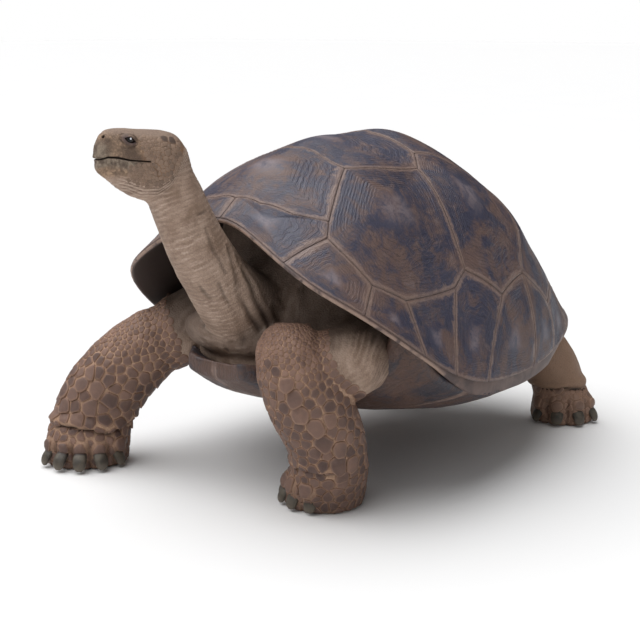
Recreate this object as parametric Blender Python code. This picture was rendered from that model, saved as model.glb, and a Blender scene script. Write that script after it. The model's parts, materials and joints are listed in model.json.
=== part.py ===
"""Giant tortoise, life size, standing in mid stride: its solids.

Metres, +Z up. The animal faces -Y and its left is +X. The body is laid out about its own
midline (X = 0) with the floor at Z = 0, and at the end the whole is moved so that the
bottom centre of its bounding box is the origin.
"""
import math

import bmesh
import bpy
from mathutils import Matrix, Vector

# ---- driving dimensions -------------------------------------------------------------
GAP = 0.0004                # clearance between pieces that touch
LENGTHEN = 0.003            # how far a room runs past its limb's ends, as a share of it

# The carapace, by angle round a vertical axis: 0 is the front, 90 the side, 180 the rear.
APEX_Y = 0.13
SHELL_TOP = 0.733
RIM_REACH = (0.50, 0.56, 0.455, 0.385, 0.41, 0.50, 0.53)        # axis to rim, every 30 deg
RIM_HEIGHT = (0.598, 0.471, 0.285, 0.24, 0.25, 0.29, 0.285)
RIM_SLOPE = (38, 42, 62, 92, 95, 52, 50)                         # degrees below level
CROWN = (0.50, 0.58, 0.63, 0.63, 0.52, 0.43, 0.40)               # flat share of the reach
WALL = (0.20, 0.19, 0.20, 0.19, 0.16, 0.18, 0.20)                # length of the rim's pull
SHELL_THICK = 0.018
RIM_ROUND = 0.010
ROUND_STEPS = 48
OUTER_RUNS = (0.1, 0.2, 0.3, 0.4, 0.5, 0.6, 0.7, 0.8, 0.9, 1.0)
INNER_RUNS = (0.8, 0.5, 0.25)

# Scute bosses: angle, run from apex (0) to rim (1), height and breadth of the dome.
BOSSES = (
    (0, 0.68, 0.010, 0.080),
    (0, 0.30, 0.012, 0.085),
    (180, 0.03, 0.010, 0.085),
    (180, 0.38, 0.012, 0.075),
    (180, 0.74, 0.008, 0.070),
    (43, 0.52, 0.012, 0.090),
    (86, 0.39, 0.012, 0.090),
    (127, 0.52, 0.012, 0.085),
    (151, 0.72, 0.009, 0.070),
)

# The plastron, front to rear. Between the bridges' ends its sides turn up to the rim.
PLATE_FRONT = -0.395
PLATE_REAR = 0.53
LOBE_HALF_WIDTH = (0.074, 0.172, 0.285, 0.320, 0.330, 0.320, 0.270, 0.185, 0.085)
LOBE_RISE = (0.014, 0.042, 0.062, 0.070, 0.075, 0.070, 0.050, 0.025, 0.012)
PLATE_BOTTOM = (0.259, 0.211, 0.178, 0.150, 0.130, 0.115, 0.112, 0.125, 0.150)
BRIDGE_FRONT = -0.260
BRIDGE_REAR = 0.330
BRIDGE_BLEND = 0.060
BRIDGE_INSET = 0.006
PLATE_DISH = 2.4            # how suddenly its sides turn up into the bridges
PLATE_THICK = 0.022
GULAR_THICK = 0.064
GULAR_LENGTH = 0.20         # share of the plate over which the gular thins to the rest
PLATE_TAPER = 0.97          # breadth of its upper face over its under face
PLATE_END = 0.55            # how far its two ends are flattened
PLATE_ALONG = 14
PLATE_ACROSS = 8

# The trunk inside them: reach of its foot and waist at each 30 degrees.
TRUNK_FOOT = (0.49, 0.41, 0.27, 0.25, 0.26, 0.33, 0.33)
TRUNK_WAIST = (0.44, 0.40, 0.33, 0.325, 0.335, 0.40, 0.40)
TRUNK_STEPS = 24
TRUNK_CLEAR = 0.006         # under the vault
TRUNK_SINK = 0.012          # its foot above the plastron's under face, before it is cut to fit
TRUNK_WAIST_Z = (0.39, 0.36, 0.27, 0.245, 0.255, 0.28, 0.29)

# The neck: centre, half-width across the body, half-depth.
NECK = (
    ((0.000, -0.140, 0.370), 0.072, 0.072),
    ((-0.002, -0.265, 0.383), 0.088, 0.088),
    ((-0.002, -0.338, 0.433), 0.079, 0.074),
    ((-0.001, -0.389, 0.488), 0.067, 0.064),
    ((-0.006, -0.430, 0.549), 0.061, 0.060),
    ((-0.018, -0.453, 0.610), 0.056, 0.056),
    ((-0.031, -0.467, 0.660), 0.052, 0.054),
    ((-0.038, -0.472, 0.695), 0.045, 0.047),
)
NECK_SIDES = 16
NECK_RINGS = 13

# The head, in its own axes: X to its left, Y back from the tip of the beak, Z up.
BEAK_TIP = (-0.100, -0.600, 0.742)
HEAD_YAW = -25
HEAD_PITCH = -7
HEAD_STATIONS = (0.0, 0.006, 0.016, 0.030, 0.052, 0.078, 0.104, 0.130, 0.156, 0.176, 0.190)
HEAD_TOP = (0.010, 0.026, 0.0375, 0.0425, 0.0455, 0.046, 0.0455, 0.0445, 0.037, 0.022, 0.000)
HEAD_BOTTOM = (-0.012, -0.038, -0.047, -0.056, -0.070, -0.082, -0.088, -0.084, -0.070, -0.052, -0.030)
HEAD_HALF = (0.007, 0.017, 0.0235, 0.030, 0.0405, 0.0470, 0.0515, 0.0535, 0.050, 0.040, 0.022)
HEAD_WIDEST = (0.000, -0.002, -0.004, -0.004, -0.006, -0.010, -0.012, -0.014, -0.016, -0.018, -0.016)
HEAD_SIDES = 22
MOUTH_LINE = ((-0.010, -0.0185), (0.006, -0.0165), (0.020, -0.0095), (0.036, -0.0085), (0.060, -0.0110),
              (0.100, -0.0105))
JAW_BACK = ((0.108, -0.030), (0.086, -0.058), (0.030, -0.090), (-0.010, -0.090))
JAW_REACH = 0.09            # half-width of the cut that parts the jaw, past both cheeks
HEAD_SQUARE = 0.85          # 1 is an ellipse; less is squarer, more is keeled
THROAT_KEEL = 1.1
EYE_PLACE = (0.0335, 0.0565, 0.0270)
EYE_RADIUS = 0.0115

# Each leg is a column, from the elbow or knee down to its flat sole, and an upper leg that
# joins it to the trunk. A station holds its centre, half-width across and half-depth.
LEFT_ARM = (
    ((0.115, -0.040, 0.350), 0.070, 0.075),
    ((0.190, -0.130, 0.340), 0.080, 0.082),
    ((0.233, -0.215, 0.320), 0.080, 0.082),
    ((0.215, -0.280, 0.322), 0.070, 0.070),
    ((0.175, -0.315, 0.330), 0.045, 0.045),
)
LEFT_FOREARM = (
    ((0.150, -0.330, 0.397), 0.030, 0.030),
    ((0.152, -0.334, 0.378), 0.056, 0.056),
    ((0.157, -0.337, 0.335), 0.074, 0.074),
    ((0.173, -0.327, 0.280), 0.080, 0.080),
    ((0.185, -0.309, 0.230), 0.082, 0.082),
    ((0.193, -0.283, 0.175), 0.079, 0.079),
    ((0.187, -0.252, 0.110), 0.077, 0.077),
    ((0.160, -0.232, 0.045), 0.081, 0.081),
    ((0.148, -0.226, 0.000), 0.083, 0.083),
)
RIGHT_ARM = (
    ((-0.115, -0.040, 0.360), 0.070, 0.075),
    ((-0.185, -0.120, 0.365), 0.080, 0.078),
    ((-0.250, -0.195, 0.322), 0.082, 0.076),
    ((-0.302, -0.244, 0.280), 0.074, 0.068),
    ((-0.327, -0.267, 0.257), 0.048, 0.043),
)
RIGHT_FOREARM = (
    ((-0.274, -0.216, 0.319), 0.030, 0.028),
    ((-0.288, -0.229, 0.306), 0.056, 0.051),
    ((-0.312, -0.251, 0.286), 0.073, 0.069),
    ((-0.357, -0.291, 0.238), 0.083, 0.075),
    ((-0.401, -0.330, 0.175), 0.086, 0.075),
    ((-0.424, -0.352, 0.115), 0.088, 0.073),
    ((-0.436, -0.363, 0.050), 0.093, 0.075),
    ((-0.439, -0.366, 0.000), 0.094, 0.077),
)
LEFT_THIGH = (
    ((0.110, 0.300, 0.320), 0.075, 0.075),
    ((0.155, 0.400, 0.300), 0.085, 0.080),
    ((0.180, 0.465, 0.250), 0.078, 0.074),
    ((0.190, 0.525, 0.200), 0.050, 0.050),
)
LEFT_SHANK = (
    ((0.180, 0.492, 0.246), 0.028, 0.028),
    ((0.185, 0.512, 0.229), 0.050, 0.050),
    ((0.196, 0.548, 0.193), 0.063, 0.063),
    ((0.208, 0.590, 0.140), 0.065, 0.065),
    ((0.217, 0.612, 0.085), 0.064, 0.064),
    ((0.222, 0.620, 0.040), 0.074, 0.074),
    ((0.224, 0.622, 0.000), 0.079, 0.079),
)
RIGHT_THIGH = (
    ((-0.110, 0.280, 0.320), 0.075, 0.075),
    ((-0.175, 0.350, 0.295), 0.085, 0.080),
    ((-0.215, 0.405, 0.250), 0.080, 0.076),
    ((-0.232, 0.450, 0.205), 0.050, 0.050),
)
RIGHT_SHANK = (
    ((-0.222, 0.420, 0.262), 0.030, 0.030),
    ((-0.226, 0.432, 0.245), 0.055, 0.055),
    ((-0.232, 0.452, 0.205), 0.068, 0.068),
    ((-0.238, 0.480, 0.140), 0.066, 0.066),
    ((-0.242, 0.495, 0.085), 0.065, 0.065),
    ((-0.244, 0.501, 0.040), 0.075, 0.075),
    ((-0.245, 0.503, 0.000), 0.079, 0.079),
)
LEG_SIDES = 13
UPPER_RINGS = 6
LOWER_RINGS = 9
FOOT_RINGS = 4
ANKLE = 0.79                # share of the column where the foot is parted from it
SOLE_EDGE = ((1.0, 0.012), (0.97, 0.004), (0.90, 0.0))      # inset and height of its rings
SOLE_FROM = 0.72            # the sections level out from here to the sole

# Toes point inward on the forefeet and outward on the hind feet (degrees from +X).
LEGS = (
    ("left_foreleg", LEFT_ARM, LEFT_FOREARM, 233, 5),
    ("right_foreleg", RIGHT_ARM, RIGHT_FOREARM, 310, 5),
    ("left_hindleg", LEFT_THIGH, LEFT_SHANK, 310, 4),
    ("right_hindleg", RIGHT_THIGH, RIGHT_SHANK, 230, 4),
)

TAIL = (
    ((0.000, 0.430, 0.270), 0.060, 0.050),
    ((0.000, 0.515, 0.245), 0.046, 0.040),
    ((0.004, 0.565, 0.205), 0.030, 0.028),
    ((0.012, 0.590, 0.160), 0.016, 0.016),
    ((0.020, 0.596, 0.125), 0.005, 0.005),
)

TAIL_SIDES = 11
TAIL_RINGS = 7

CLAW_LENGTH = 0.030
CLAW_HALF = 0.0175
CLAW_SHAPE = (0.85, 0.55, -0.85)        # its half-breadth from root to tip, as a curve
CLAW_ROOT = 0.020           # how far inside the foot's edge a claw starts
CLAW_HEIGHT = 0.020         # its underside at the root and at the tip
CLAW_TIP = 0.0015
CLAW_ARCH = 0.010           # rise of its middle over a straight line
CLAW_FLAT = 0.9             # its depth over its breadth
CLAW_LEAN = (0.2, 0.9)      # how its sections tip forward, at the root and added to the tip
CLAW_SPREAD = 58
CLAW_RINGS = 4
CLAW_SIDES = 6

SKIN = (0.26, 0.19, 0.15)
NECK_SKIN = (0.30, 0.23, 0.18)
HORN = (0.10, 0.08, 0.07)
SCUTE = (0.10, 0.09, 0.11)
BELLY = (0.09, 0.07, 0.06)
EYE = (0.02, 0.015, 0.012)


# ---- helpers ------------------------------------------------------------------------
def smooth_value(values, share):
    """A Catmull-Rom curve through evenly spaced values, read at share 0..1 or just past it."""
    last = len(values) - 1
    place = share * last
    first = min(max(math.floor(place), 0), last - 1)
    t = place - first
    b = values[first]
    c = values[first + 1]
    a = values[first - 1] if first > 0 else b + (b - c)
    d = values[first + 2] if first + 2 <= last else c + (c - b)
    return 0.5 * (2 * b + (c - a) * t + (2 * a - 5 * b + 4 * c - d) * t * t
                  + (3 * b - a - 3 * c + d) * t * t * t)


def round_value(values, angle):
    """A value given every 30 degrees from the front to the rear, the same on both sides."""
    turned = abs((math.degrees(angle) + 180) % 360 - 180)
    mirrored = (values[1],) + tuple(values) + (values[-2],)
    share = (turned / 30 + 1) / (len(mirrored) - 1)
    return smooth_value(mirrored, share)


def body_from_rings(rings, start=None, end=None):
    """Close a stack of rings into one body. Each end is capped flat or drawn to a point.

    Its faces are parted the same way in a piece and in the room that it takes, so that the
    clearance between them stays even.
    """
    bm = bmesh.new()
    loops = [[bm.verts.new(point) for point in ring] for ring in rings]
    count = len(loops[0])
    for lower, upper in zip(loops, loops[1:]):
        for i in range(count):
            j = (i + 1) % count
            bm.faces.new((lower[i], lower[j], upper[j], upper[i]))
    for ring, point in ((loops[0], start), (loops[-1], end)):
        if point is None:
            bm.faces.new(ring)
            continue
        tip = bm.verts.new(point)
        for i in range(count):
            bm.faces.new((ring[i], ring[(i + 1) % count], tip))
    bmesh.ops.triangulate(bm, faces=bm.faces, quad_method="FIXED")
    bmesh.ops.recalc_face_normals(bm, faces=bm.faces)
    return bm


def plain_material(name, colour, roughness):
    material = bpy.data.materials.new(name)
    material.use_nodes = True
    shader = material.node_tree.nodes["Principled BSDF"]
    shader.inputs["Base Color"].default_value = (*colour, 1)
    shader.inputs["Roughness"].default_value = roughness
    return material


def add_node(name, bm, colour, roughness=0.7):
    """Make a named piece of the model from a finished mesh."""
    mesh = bpy.data.meshes.new(name)
    bm.to_mesh(mesh)
    bm.free()
    mesh.shade_smooth()
    mesh.set_sharp_from_angle(angle=math.radians(40))
    piece = bpy.data.objects.new(name, mesh)
    bpy.context.scene.collection.objects.link(piece)
    piece.data.materials.append(plain_material(name, colour, roughness))
    piece.parent = tortoise
    return piece


def add_cutter(name, bm):
    """A body that only cuts others. It isn't part of the model."""
    cutter = add_node(name, bm, HORN)
    cutter.hide_render = True
    cutter.display_type = "WIRE"
    return cutter


def cut(piece, cutter, operation="DIFFERENCE"):
    boolean = piece.modifiers.new(cutter.name, "BOOLEAN")
    boolean.object = cutter
    boolean.operation = operation


# ---- carapace -----------------------------------------------------------------------
def shell_point(angle, run):
    """A point on the plain vault: run goes from the apex (0) to the rim (1)."""
    reach = round_value(RIM_REACH, angle)
    height = round_value(RIM_HEIGHT, angle)
    slope = math.radians(round_value(RIM_SLOPE, angle))
    crown = round_value(CROWN, angle)
    wall = round_value(WALL, angle)
    back = 1 - run
    weights = (back ** 3, 3 * run * back ** 2, 3 * run ** 2 * back, run ** 3)
    outs = (0, crown * reach, reach - wall * math.cos(slope), reach)
    ups = (SHELL_TOP, SHELL_TOP, height + wall * math.sin(slope), height)
    out = sum(w * value for w, value in zip(weights, outs))
    up = sum(w * value for w, value in zip(weights, ups))
    return Vector((out * math.sin(angle), APEX_Y - out * math.cos(angle), up))


def shell_normal(angle, run):
    step = 0.01
    run = max(run, 2 * step)
    round_way = shell_point(angle + step, run) - shell_point(angle - step, run)
    down_way = shell_point(angle, min(run + step, 1)) - shell_point(angle, run - step)
    return down_way.cross(round_way).normalized()


def boss_places():
    """Each dome's centre on the vault, those of the sides on both sides."""
    places = []
    for turn, run, height, breadth in BOSSES:
        angle = math.radians(turn)
        for side in ((1,) if turn in (0, 180) else (1, -1)):
            places.append((shell_point(side * angle, run), height, breadth))
    return places


def shell_surface(angle, run, places):
    """The vault with the domes of its scutes raised on it."""
    point = shell_point(angle, run)
    lift = sum(height * math.exp(-((point - centre).length / breadth) ** 2)
               for centre, height, breadth in places)
    return point + shell_normal(angle, run) * lift


def inner_point(angle, run, depth):
    return shell_point(angle, run) - shell_normal(angle, run) * depth


def build_carapace():
    places = boss_places()
    angles = [math.tau * i / ROUND_STEPS for i in range(ROUND_STEPS)]
    rings = [[shell_surface(a, run, places) for a in angles] for run in OUTER_RUNS]
    lip = []
    for a in angles:
        middle = inner_point(a, 1.0, SHELL_THICK / 2)
        away = (middle - inner_point(a, 0.97, SHELL_THICK / 2)).normalized()
        lip.append(middle + away * RIM_ROUND)
    rings.append(lip)
    rings.append([inner_point(a, 1.0, SHELL_THICK) for a in angles])
    rings += [[inner_point(a, run, SHELL_THICK) for a in angles] for run in INNER_RUNS]
    top = shell_surface(0, 0, places)
    under = Vector((0, APEX_Y, SHELL_TOP - SHELL_THICK))
    return add_node("carapace", body_from_rings(rings, top, under), SCUTE, 0.45)


# ---- plastron -----------------------------------------------------------------------
def rim_beside(y):
    """The rim's half-width and height where it passes a given Y, found by halving."""
    front, rear = 0.5, 2.6
    for _ in range(30):
        angle = (front + rear) / 2
        if shell_point(angle, 1).y < y:
            front = angle
        else:
            rear = angle
    return shell_point(angle, 1)


def plate_point(share, across, lift=0.0, inset=1.0):
    """The plastron's under face: share runs front to rear, across from -1 to 1."""
    y = PLATE_FRONT + (PLATE_REAR - PLATE_FRONT) * share
    bottom = smooth_value(PLATE_BOTTOM, share)
    into = min(y - BRIDGE_FRONT, BRIDGE_REAR - y) / BRIDGE_BLEND
    bridge = max(0.0, min(1.0, into))
    rim = rim_beside(max(BRIDGE_FRONT, min(BRIDGE_REAR, y)))
    side_rise = rim.z - RIM_ROUND - PLATE_THICK - 2 * GAP - bottom
    half = (smooth_value(LOBE_HALF_WIDTH, share) * (1 - bridge) + (rim.x - BRIDGE_INSET) * bridge) * inset
    rise = smooth_value(LOBE_RISE, share) * (1 - bridge) + side_rise * bridge
    out = math.sin(across * math.pi / 2)
    return Vector((half * out, y, bottom + rise * abs(out) ** PLATE_DISH + lift))


def plate_body(grow=0.0):
    """The plastron, or with a growth the room that it takes."""
    crosses = [2 * i / PLATE_ACROSS - 1 for i in range(PLATE_ACROSS + 1)]
    rings = []
    for step in range(PLATE_ALONG + 1):
        share = step / PLATE_ALONG
        thick = PLATE_THICK + (GULAR_THICK - PLATE_THICK) * max(0.0, 1 - share / GULAR_LENGTH)
        under = [plate_point(share, c, -grow, 1 + grow) for c in crosses]
        over = [plate_point(share, c, thick + grow, PLATE_TAPER + 2 * grow) for c in reversed(crosses)]
        rings.append(under + over)
    for ring in (rings[0], rings[-1]):
        level = sum(point.z for point in ring) / len(ring)
        for point in ring:
            point.z = level + (point.z - level) * PLATE_END
    return body_from_rings(rings)


# ---- lofted flesh -------------------------------------------------------------------
def loft_ring(stations, share, sides, across, grow, sole_from):
    """One section of a limb: an ellipse square to its centre line, level at the sole."""
    centres = [Vector(station[0]) for station in stations]
    centre = smooth_value(centres, share)
    half = smooth_value([station[1] for station in stations], share) + grow
    depth = smooth_value([station[2] for station in stations], share) + grow
    along = smooth_value(centres, share + 0.04) - smooth_value(centres, share - 0.04)
    along.normalize()
    if share > sole_from:
        level = ((share - sole_from) / (1 - sole_from)) ** 0.5
        along = along.lerp(Vector((0, 0, -1)), level).normalized()
    fore = along.cross(across).normalized()
    side = fore.cross(along)
    turns = [math.tau * i / sides for i in range(sides)]
    return [centre + side * (half * math.cos(t)) + fore * (depth * math.sin(t)) for t in turns]


def loft(stations, sides, shares, across, grow=0.0, sole_from=2.0):
    """A body along a limb, with a section at each share of its stations."""
    sections = [loft_ring(stations, s, sides, across, grow, sole_from) for s in shares]
    return body_from_rings(sections)


def spread(start, end, count):
    return [start + (end - start) * i / (count - 1) for i in range(count)]


def lengthened(shares, low=LENGTHEN, high=LENGTHEN):
    """The same sections with the two ends moved out, for a room round the piece."""
    return [shares[0] - low] + list(shares[1:-1]) + [shares[-1] + high]


# ---- trunk --------------------------------------------------------------------------
def build_trunk():
    """The body between the shells, hugging the vault and open skin at the two ends."""
    angles = [math.tau * i / TRUNK_STEPS for i in range(TRUNK_STEPS)]
    clear = SHELL_THICK + TRUNK_CLEAR
    rings = [[inner_point(a, run, clear) for a in angles] for run in reversed(INNER_RUNS[1:])]
    waist = []
    foot = []
    for a in angles:
        ahead = Vector((math.sin(a), -math.cos(a), 0))
        middle = Vector((0, APEX_Y, 0))
        waist.append(middle + ahead * round_value(TRUNK_WAIST, a)
                     + Vector((0, 0, round_value(TRUNK_WAIST_Z, a))))
        base = middle + ahead * round_value(TRUNK_FOOT, a)
        share = (base.y - PLATE_FRONT) / (PLATE_REAR - PLATE_FRONT)
        half = plate_point(share, 1).x
        across = math.asin(max(-1.0, min(1.0, base.x / half))) * 2 / math.pi
        base.z = plate_point(share, across, TRUNK_SINK).z
        foot.append(base)
    top = Vector((0, APEX_Y, SHELL_TOP - clear))
    floor = Vector((0, APEX_Y, PLATE_BOTTOM[4] + TRUNK_SINK))
    return add_node("trunk", body_from_rings(rings + [waist, foot], top, floor), SKIN)


# ---- neck and tail ------------------------------------------------------------------
def build_along(name, stations, sides, rings, colour):
    """A limb without a sole, and the room that it takes in its neighbours."""
    across = Vector((1, 0, 0))
    shares = spread(0, 1, rings)
    piece = add_node(name, loft(stations, sides, shares, across), colour)
    room = add_cutter("room_for_" + name, loft(stations, sides, lengthened(shares), across, GAP))
    return piece, room


# ---- legs ---------------------------------------------------------------------------
def build_leg(name, upper, column, across):
    """A leg in three lengths. The upper leg is hollowed to fit the top of the column."""
    length = sum((Vector(a[0]) - Vector(b[0])).length for a, b in zip(column, column[1:]))
    slit = GAP / length
    upright = Vector((0, 0, 1))
    upper_shares = spread(0, 1, UPPER_RINGS)
    lower_shares = spread(0, ANKLE - slit, LOWER_RINGS)
    foot_shares = spread(ANKLE + slit, 1, FOOT_RINGS)
    top = add_node(f"{name}_upper", loft(upper, LEG_SIDES, upper_shares, upright), SKIN)
    lower = loft(column, LEG_SIDES, lower_shares, across, sole_from=SOLE_FROM)
    add_node(f"{name}_lower", lower, SKIN)
    rings = [loft_ring(column, s, LEG_SIDES, across, 0, SOLE_FROM) for s in foot_shares]
    centre = Vector(column[-1][0])
    sole = rings.pop()
    for inset, height in SOLE_EDGE:
        rings.append([centre + (p - centre) * inset + Vector((0, 0, height)) for p in sole])
    add_node(f"{name}_foot", body_from_rings(rings), SKIN)
    column_shares = lengthened(lower_shares + foot_shares, high=0)
    room_rings = [loft_ring(column, s, LEG_SIDES, across, GAP, SOLE_FROM) for s in column_shares]
    room_rings.insert(-1, [p + Vector((0, 0, SOLE_EDGE[0][1])) for p in room_rings[-1]])
    column_room = add_cutter(f"room_for_{name}_column", body_from_rings(room_rings))
    upper_room = add_cutter(f"room_for_{name}_upper", loft(upper, LEG_SIDES, lengthened(upper_shares),
                                                           upright, GAP))
    cut(top, column_room)
    return column_room, upper_room


def build_claws(name, stations, toes, count, foot):
    """Blunt claws fanned round the front of a foot, their tips just off the floor."""
    centre = Vector(stations[-1][0])
    half = stations[-1][1]
    fan = math.radians(CLAW_SPREAD)
    for number in range(count):
        turn = math.radians(toes) + fan * (2 * number / (count - 1) - 1)
        out = Vector((math.cos(turn), math.sin(turn), 0))
        side = Vector((-out.y, out.x, 0))
        rings = []
        for step in range(CLAW_RINGS):
            t = step / (CLAW_RINGS - 1)
            thick = CLAW_HALF * sum(factor * t ** power for power, factor in enumerate(CLAW_SHAPE))
            place = centre + out * (half - CLAW_ROOT + CLAW_LENGTH * t)
            place.z = CLAW_HEIGHT * (1 - t) + CLAW_TIP * t + CLAW_ARCH * math.sin(math.pi * t) + thick
            up = (Vector((0, 0, 1)) + out * (CLAW_LEAN[0] + CLAW_LEAN[1] * t)).normalized()
            turns = [math.tau * i / CLAW_SIDES for i in range(CLAW_SIDES)]
            rings.append([place + side * (thick * math.cos(a)) + up * (thick * CLAW_FLAT * math.sin(a))
                          for a in turns])
        claw = add_node(f"{name}_claw_{number + 1}", body_from_rings(rings), HORN, 0.5)
        cut(claw, foot)


# ---- head ---------------------------------------------------------------------------
HEAD_PLACE = (Matrix.Translation(BEAK_TIP) @ Matrix.Rotation(math.radians(HEAD_YAW), 4, "Z")
              @ Matrix.Rotation(math.radians(HEAD_PITCH), 4, "X"))


def head_ring(back, grow=0.0):
    """One upright section of the head, deeper and narrower below its widest level."""
    share = head_share(back)
    top = smooth_value(HEAD_TOP, share)
    bottom = smooth_value(HEAD_BOTTOM, share)
    half = smooth_value(HEAD_HALF, share) + grow
    widest = smooth_value(HEAD_WIDEST, share)
    ring = []
    for i in range(HEAD_SIDES):
        turn = math.tau * i / HEAD_SIDES
        out = math.cos(turn)
        up = math.sin(turn)
        rise = (top - widest + grow) if up > 0 else (widest - bottom + grow)
        x = half * math.copysign(abs(out) ** HEAD_SQUARE, out)
        z = widest + rise * math.copysign(abs(up) ** (HEAD_SQUARE if up > 0 else THROAT_KEEL), up)
        ring.append(Vector((x, back, z)))
    return ring


def head_share(back):
    """The share along the head's list of sections at a distance behind the beak's tip."""
    for i, (near, far) in enumerate(zip(HEAD_STATIONS, HEAD_STATIONS[1:])):
        if back <= far or far == HEAD_STATIONS[-1]:
            return max(0.0, min(1.0, (i + (back - near) / (far - near)) / (len(HEAD_STATIONS) - 1)))


def head_body(grow=0.0):
    backs = [HEAD_STATIONS[0] - grow] + list(HEAD_STATIONS[1:-1]) + [HEAD_STATIONS[-1] + grow]
    return body_from_rings([head_ring(back, grow) for back in backs])


def side_prism(outline, half_width):
    """A closed outline in the head's side view, drawn out across it."""
    rings = [[Vector((side * half_width, y, z)) for y, z in outline] for side in (-1, 1)]
    return body_from_rings(rings)


def eyeball(side, radius):
    """An eye on one side of the head, or the room that it takes."""
    ball = bmesh.new()
    bmesh.ops.create_uvsphere(ball, u_segments=12, v_segments=8, radius=radius)
    centre = Matrix.Translation((side * EYE_PLACE[0], EYE_PLACE[1], EYE_PLACE[2]))
    bmesh.ops.transform(ball, matrix=HEAD_PLACE @ centre, verts=ball.verts)
    return ball


def build_head():
    """Head, lower jaw and eyes. The jaw is parted along the mouth."""
    upper_lip = list(MOUTH_LINE)
    lower_lip = [(y, z - 2 * GAP) for y, z in upper_lip]
    jaw_inside = [(y - GAP, z + GAP) for y, z in JAW_BACK]
    jaw_room = add_cutter("jaw_room", side_prism(upper_lip + list(JAW_BACK), JAW_REACH))
    jaw_shape = add_cutter("jaw_shape", side_prism(lower_lip + jaw_inside, JAW_REACH))
    head = add_node("head", head_body(), NECK_SKIN)
    jaw = add_node("lower_jaw", head_body(), NECK_SKIN)
    for piece in (head, jaw, jaw_room, jaw_shape):
        piece.matrix_local = HEAD_PLACE
    cut(head, jaw_room)
    cut(jaw, jaw_shape, "INTERSECT")
    for side, name in ((1, "eye_left"), (-1, "eye_right")):
        add_node(name, eyeball(side, EYE_RADIUS), EYE, 0.1)
        cut(head, add_cutter("room_for_" + name, eyeball(side, EYE_RADIUS + GAP)))
    room = add_cutter("room_for_head", head_body(2 * GAP))
    room.matrix_local = HEAD_PLACE
    return room


# ---- the whole ----------------------------------------------------------------------
for old in list(bpy.data.objects):
    bpy.data.objects.remove(old)

tortoise = bpy.data.objects.new("tortoise", None)
bpy.context.scene.collection.objects.link(tortoise)

build_carapace()
plastron = add_node("plastron", plate_body(), BELLY, 0.55)
trunk = build_trunk()
cut(trunk, add_cutter("room_for_plastron", plate_body(2 * GAP)))
neck, neck_room = build_along("neck", NECK, NECK_SIDES, NECK_RINGS, NECK_SKIN)
tail, tail_room = build_along("tail", TAIL, TAIL_SIDES, TAIL_RINGS, SKIN)
cut(neck, build_head())
cut(trunk, neck_room)
cut(trunk, tail_room)
for leg_name, upper_leg, leg, toes, claws in LEGS:
    breadth = Vector((-math.sin(math.radians(toes)), math.cos(math.radians(toes)), 0))
    leg_rooms = build_leg(leg_name, upper_leg, leg, breadth)
    for leg_room in leg_rooms:
        cut(trunk, leg_room)
        cut(plastron, leg_room)
    build_claws(leg_name, leg, toes, claws, leg_rooms[0])

bpy.context.view_layer.update()
depsgraph = bpy.context.evaluated_depsgraph_get()
points = [piece.matrix_world @ vert.co for piece in bpy.data.objects
          if piece.type == "MESH" and not piece.hide_render
          for vert in piece.evaluated_get(depsgraph).data.vertices]
low = [min(point[axis] for point in points) for axis in range(3)]
high = [max(point[axis] for point in points) for axis in range(3)]
tortoise.location = (-(low[0] + high[0]) / 2, -(low[1] + high[1]) / 2, -low[2])
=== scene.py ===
"""A giant tortoise, life size, standing in mid stride with its head raised."""
import math

import bmesh
import bpy
import numpy as np
from mathutils import Matrix, Vector, noise
from mathutils.bvhtree import BVHTree
from mathutils.kdtree import KDTree
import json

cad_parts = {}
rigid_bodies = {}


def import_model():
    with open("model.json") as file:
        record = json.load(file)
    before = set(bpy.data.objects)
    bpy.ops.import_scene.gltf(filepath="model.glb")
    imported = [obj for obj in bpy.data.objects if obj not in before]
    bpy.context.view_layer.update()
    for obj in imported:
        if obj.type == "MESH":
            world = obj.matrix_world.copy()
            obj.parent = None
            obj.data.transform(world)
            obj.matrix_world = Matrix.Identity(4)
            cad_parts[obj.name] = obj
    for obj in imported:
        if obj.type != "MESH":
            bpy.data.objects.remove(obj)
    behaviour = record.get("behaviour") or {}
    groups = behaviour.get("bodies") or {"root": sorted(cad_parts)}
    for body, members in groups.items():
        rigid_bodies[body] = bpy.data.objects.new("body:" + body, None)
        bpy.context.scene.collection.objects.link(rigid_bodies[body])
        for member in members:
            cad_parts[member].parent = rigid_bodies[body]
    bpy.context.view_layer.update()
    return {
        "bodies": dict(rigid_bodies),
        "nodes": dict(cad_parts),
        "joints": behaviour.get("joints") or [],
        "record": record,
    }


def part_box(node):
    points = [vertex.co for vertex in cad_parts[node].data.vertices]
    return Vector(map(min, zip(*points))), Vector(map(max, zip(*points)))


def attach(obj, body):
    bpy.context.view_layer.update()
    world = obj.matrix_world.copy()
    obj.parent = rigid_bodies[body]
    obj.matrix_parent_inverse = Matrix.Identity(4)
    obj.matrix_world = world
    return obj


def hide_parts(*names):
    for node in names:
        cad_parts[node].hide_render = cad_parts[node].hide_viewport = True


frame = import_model()


# ---- where the animal stands --------------------------------------------------------
# The body is laid out about its own midline (X = 0), facing -Y, with the floor at Z = 0.
# BODY is where that midline's origin lies in the frame: the carapace is even on both
# sides of it, and the plastron's front edge is a known distance ahead of it.
PLASTRON_FRONT = -0.395
carapace_low, carapace_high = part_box("carapace")
plastron_low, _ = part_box("plastron")
BODY = np.array(((carapace_low.x + carapace_high.x) / 2, plastron_low.y - PLASTRON_FRONT, 0.0))


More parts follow.
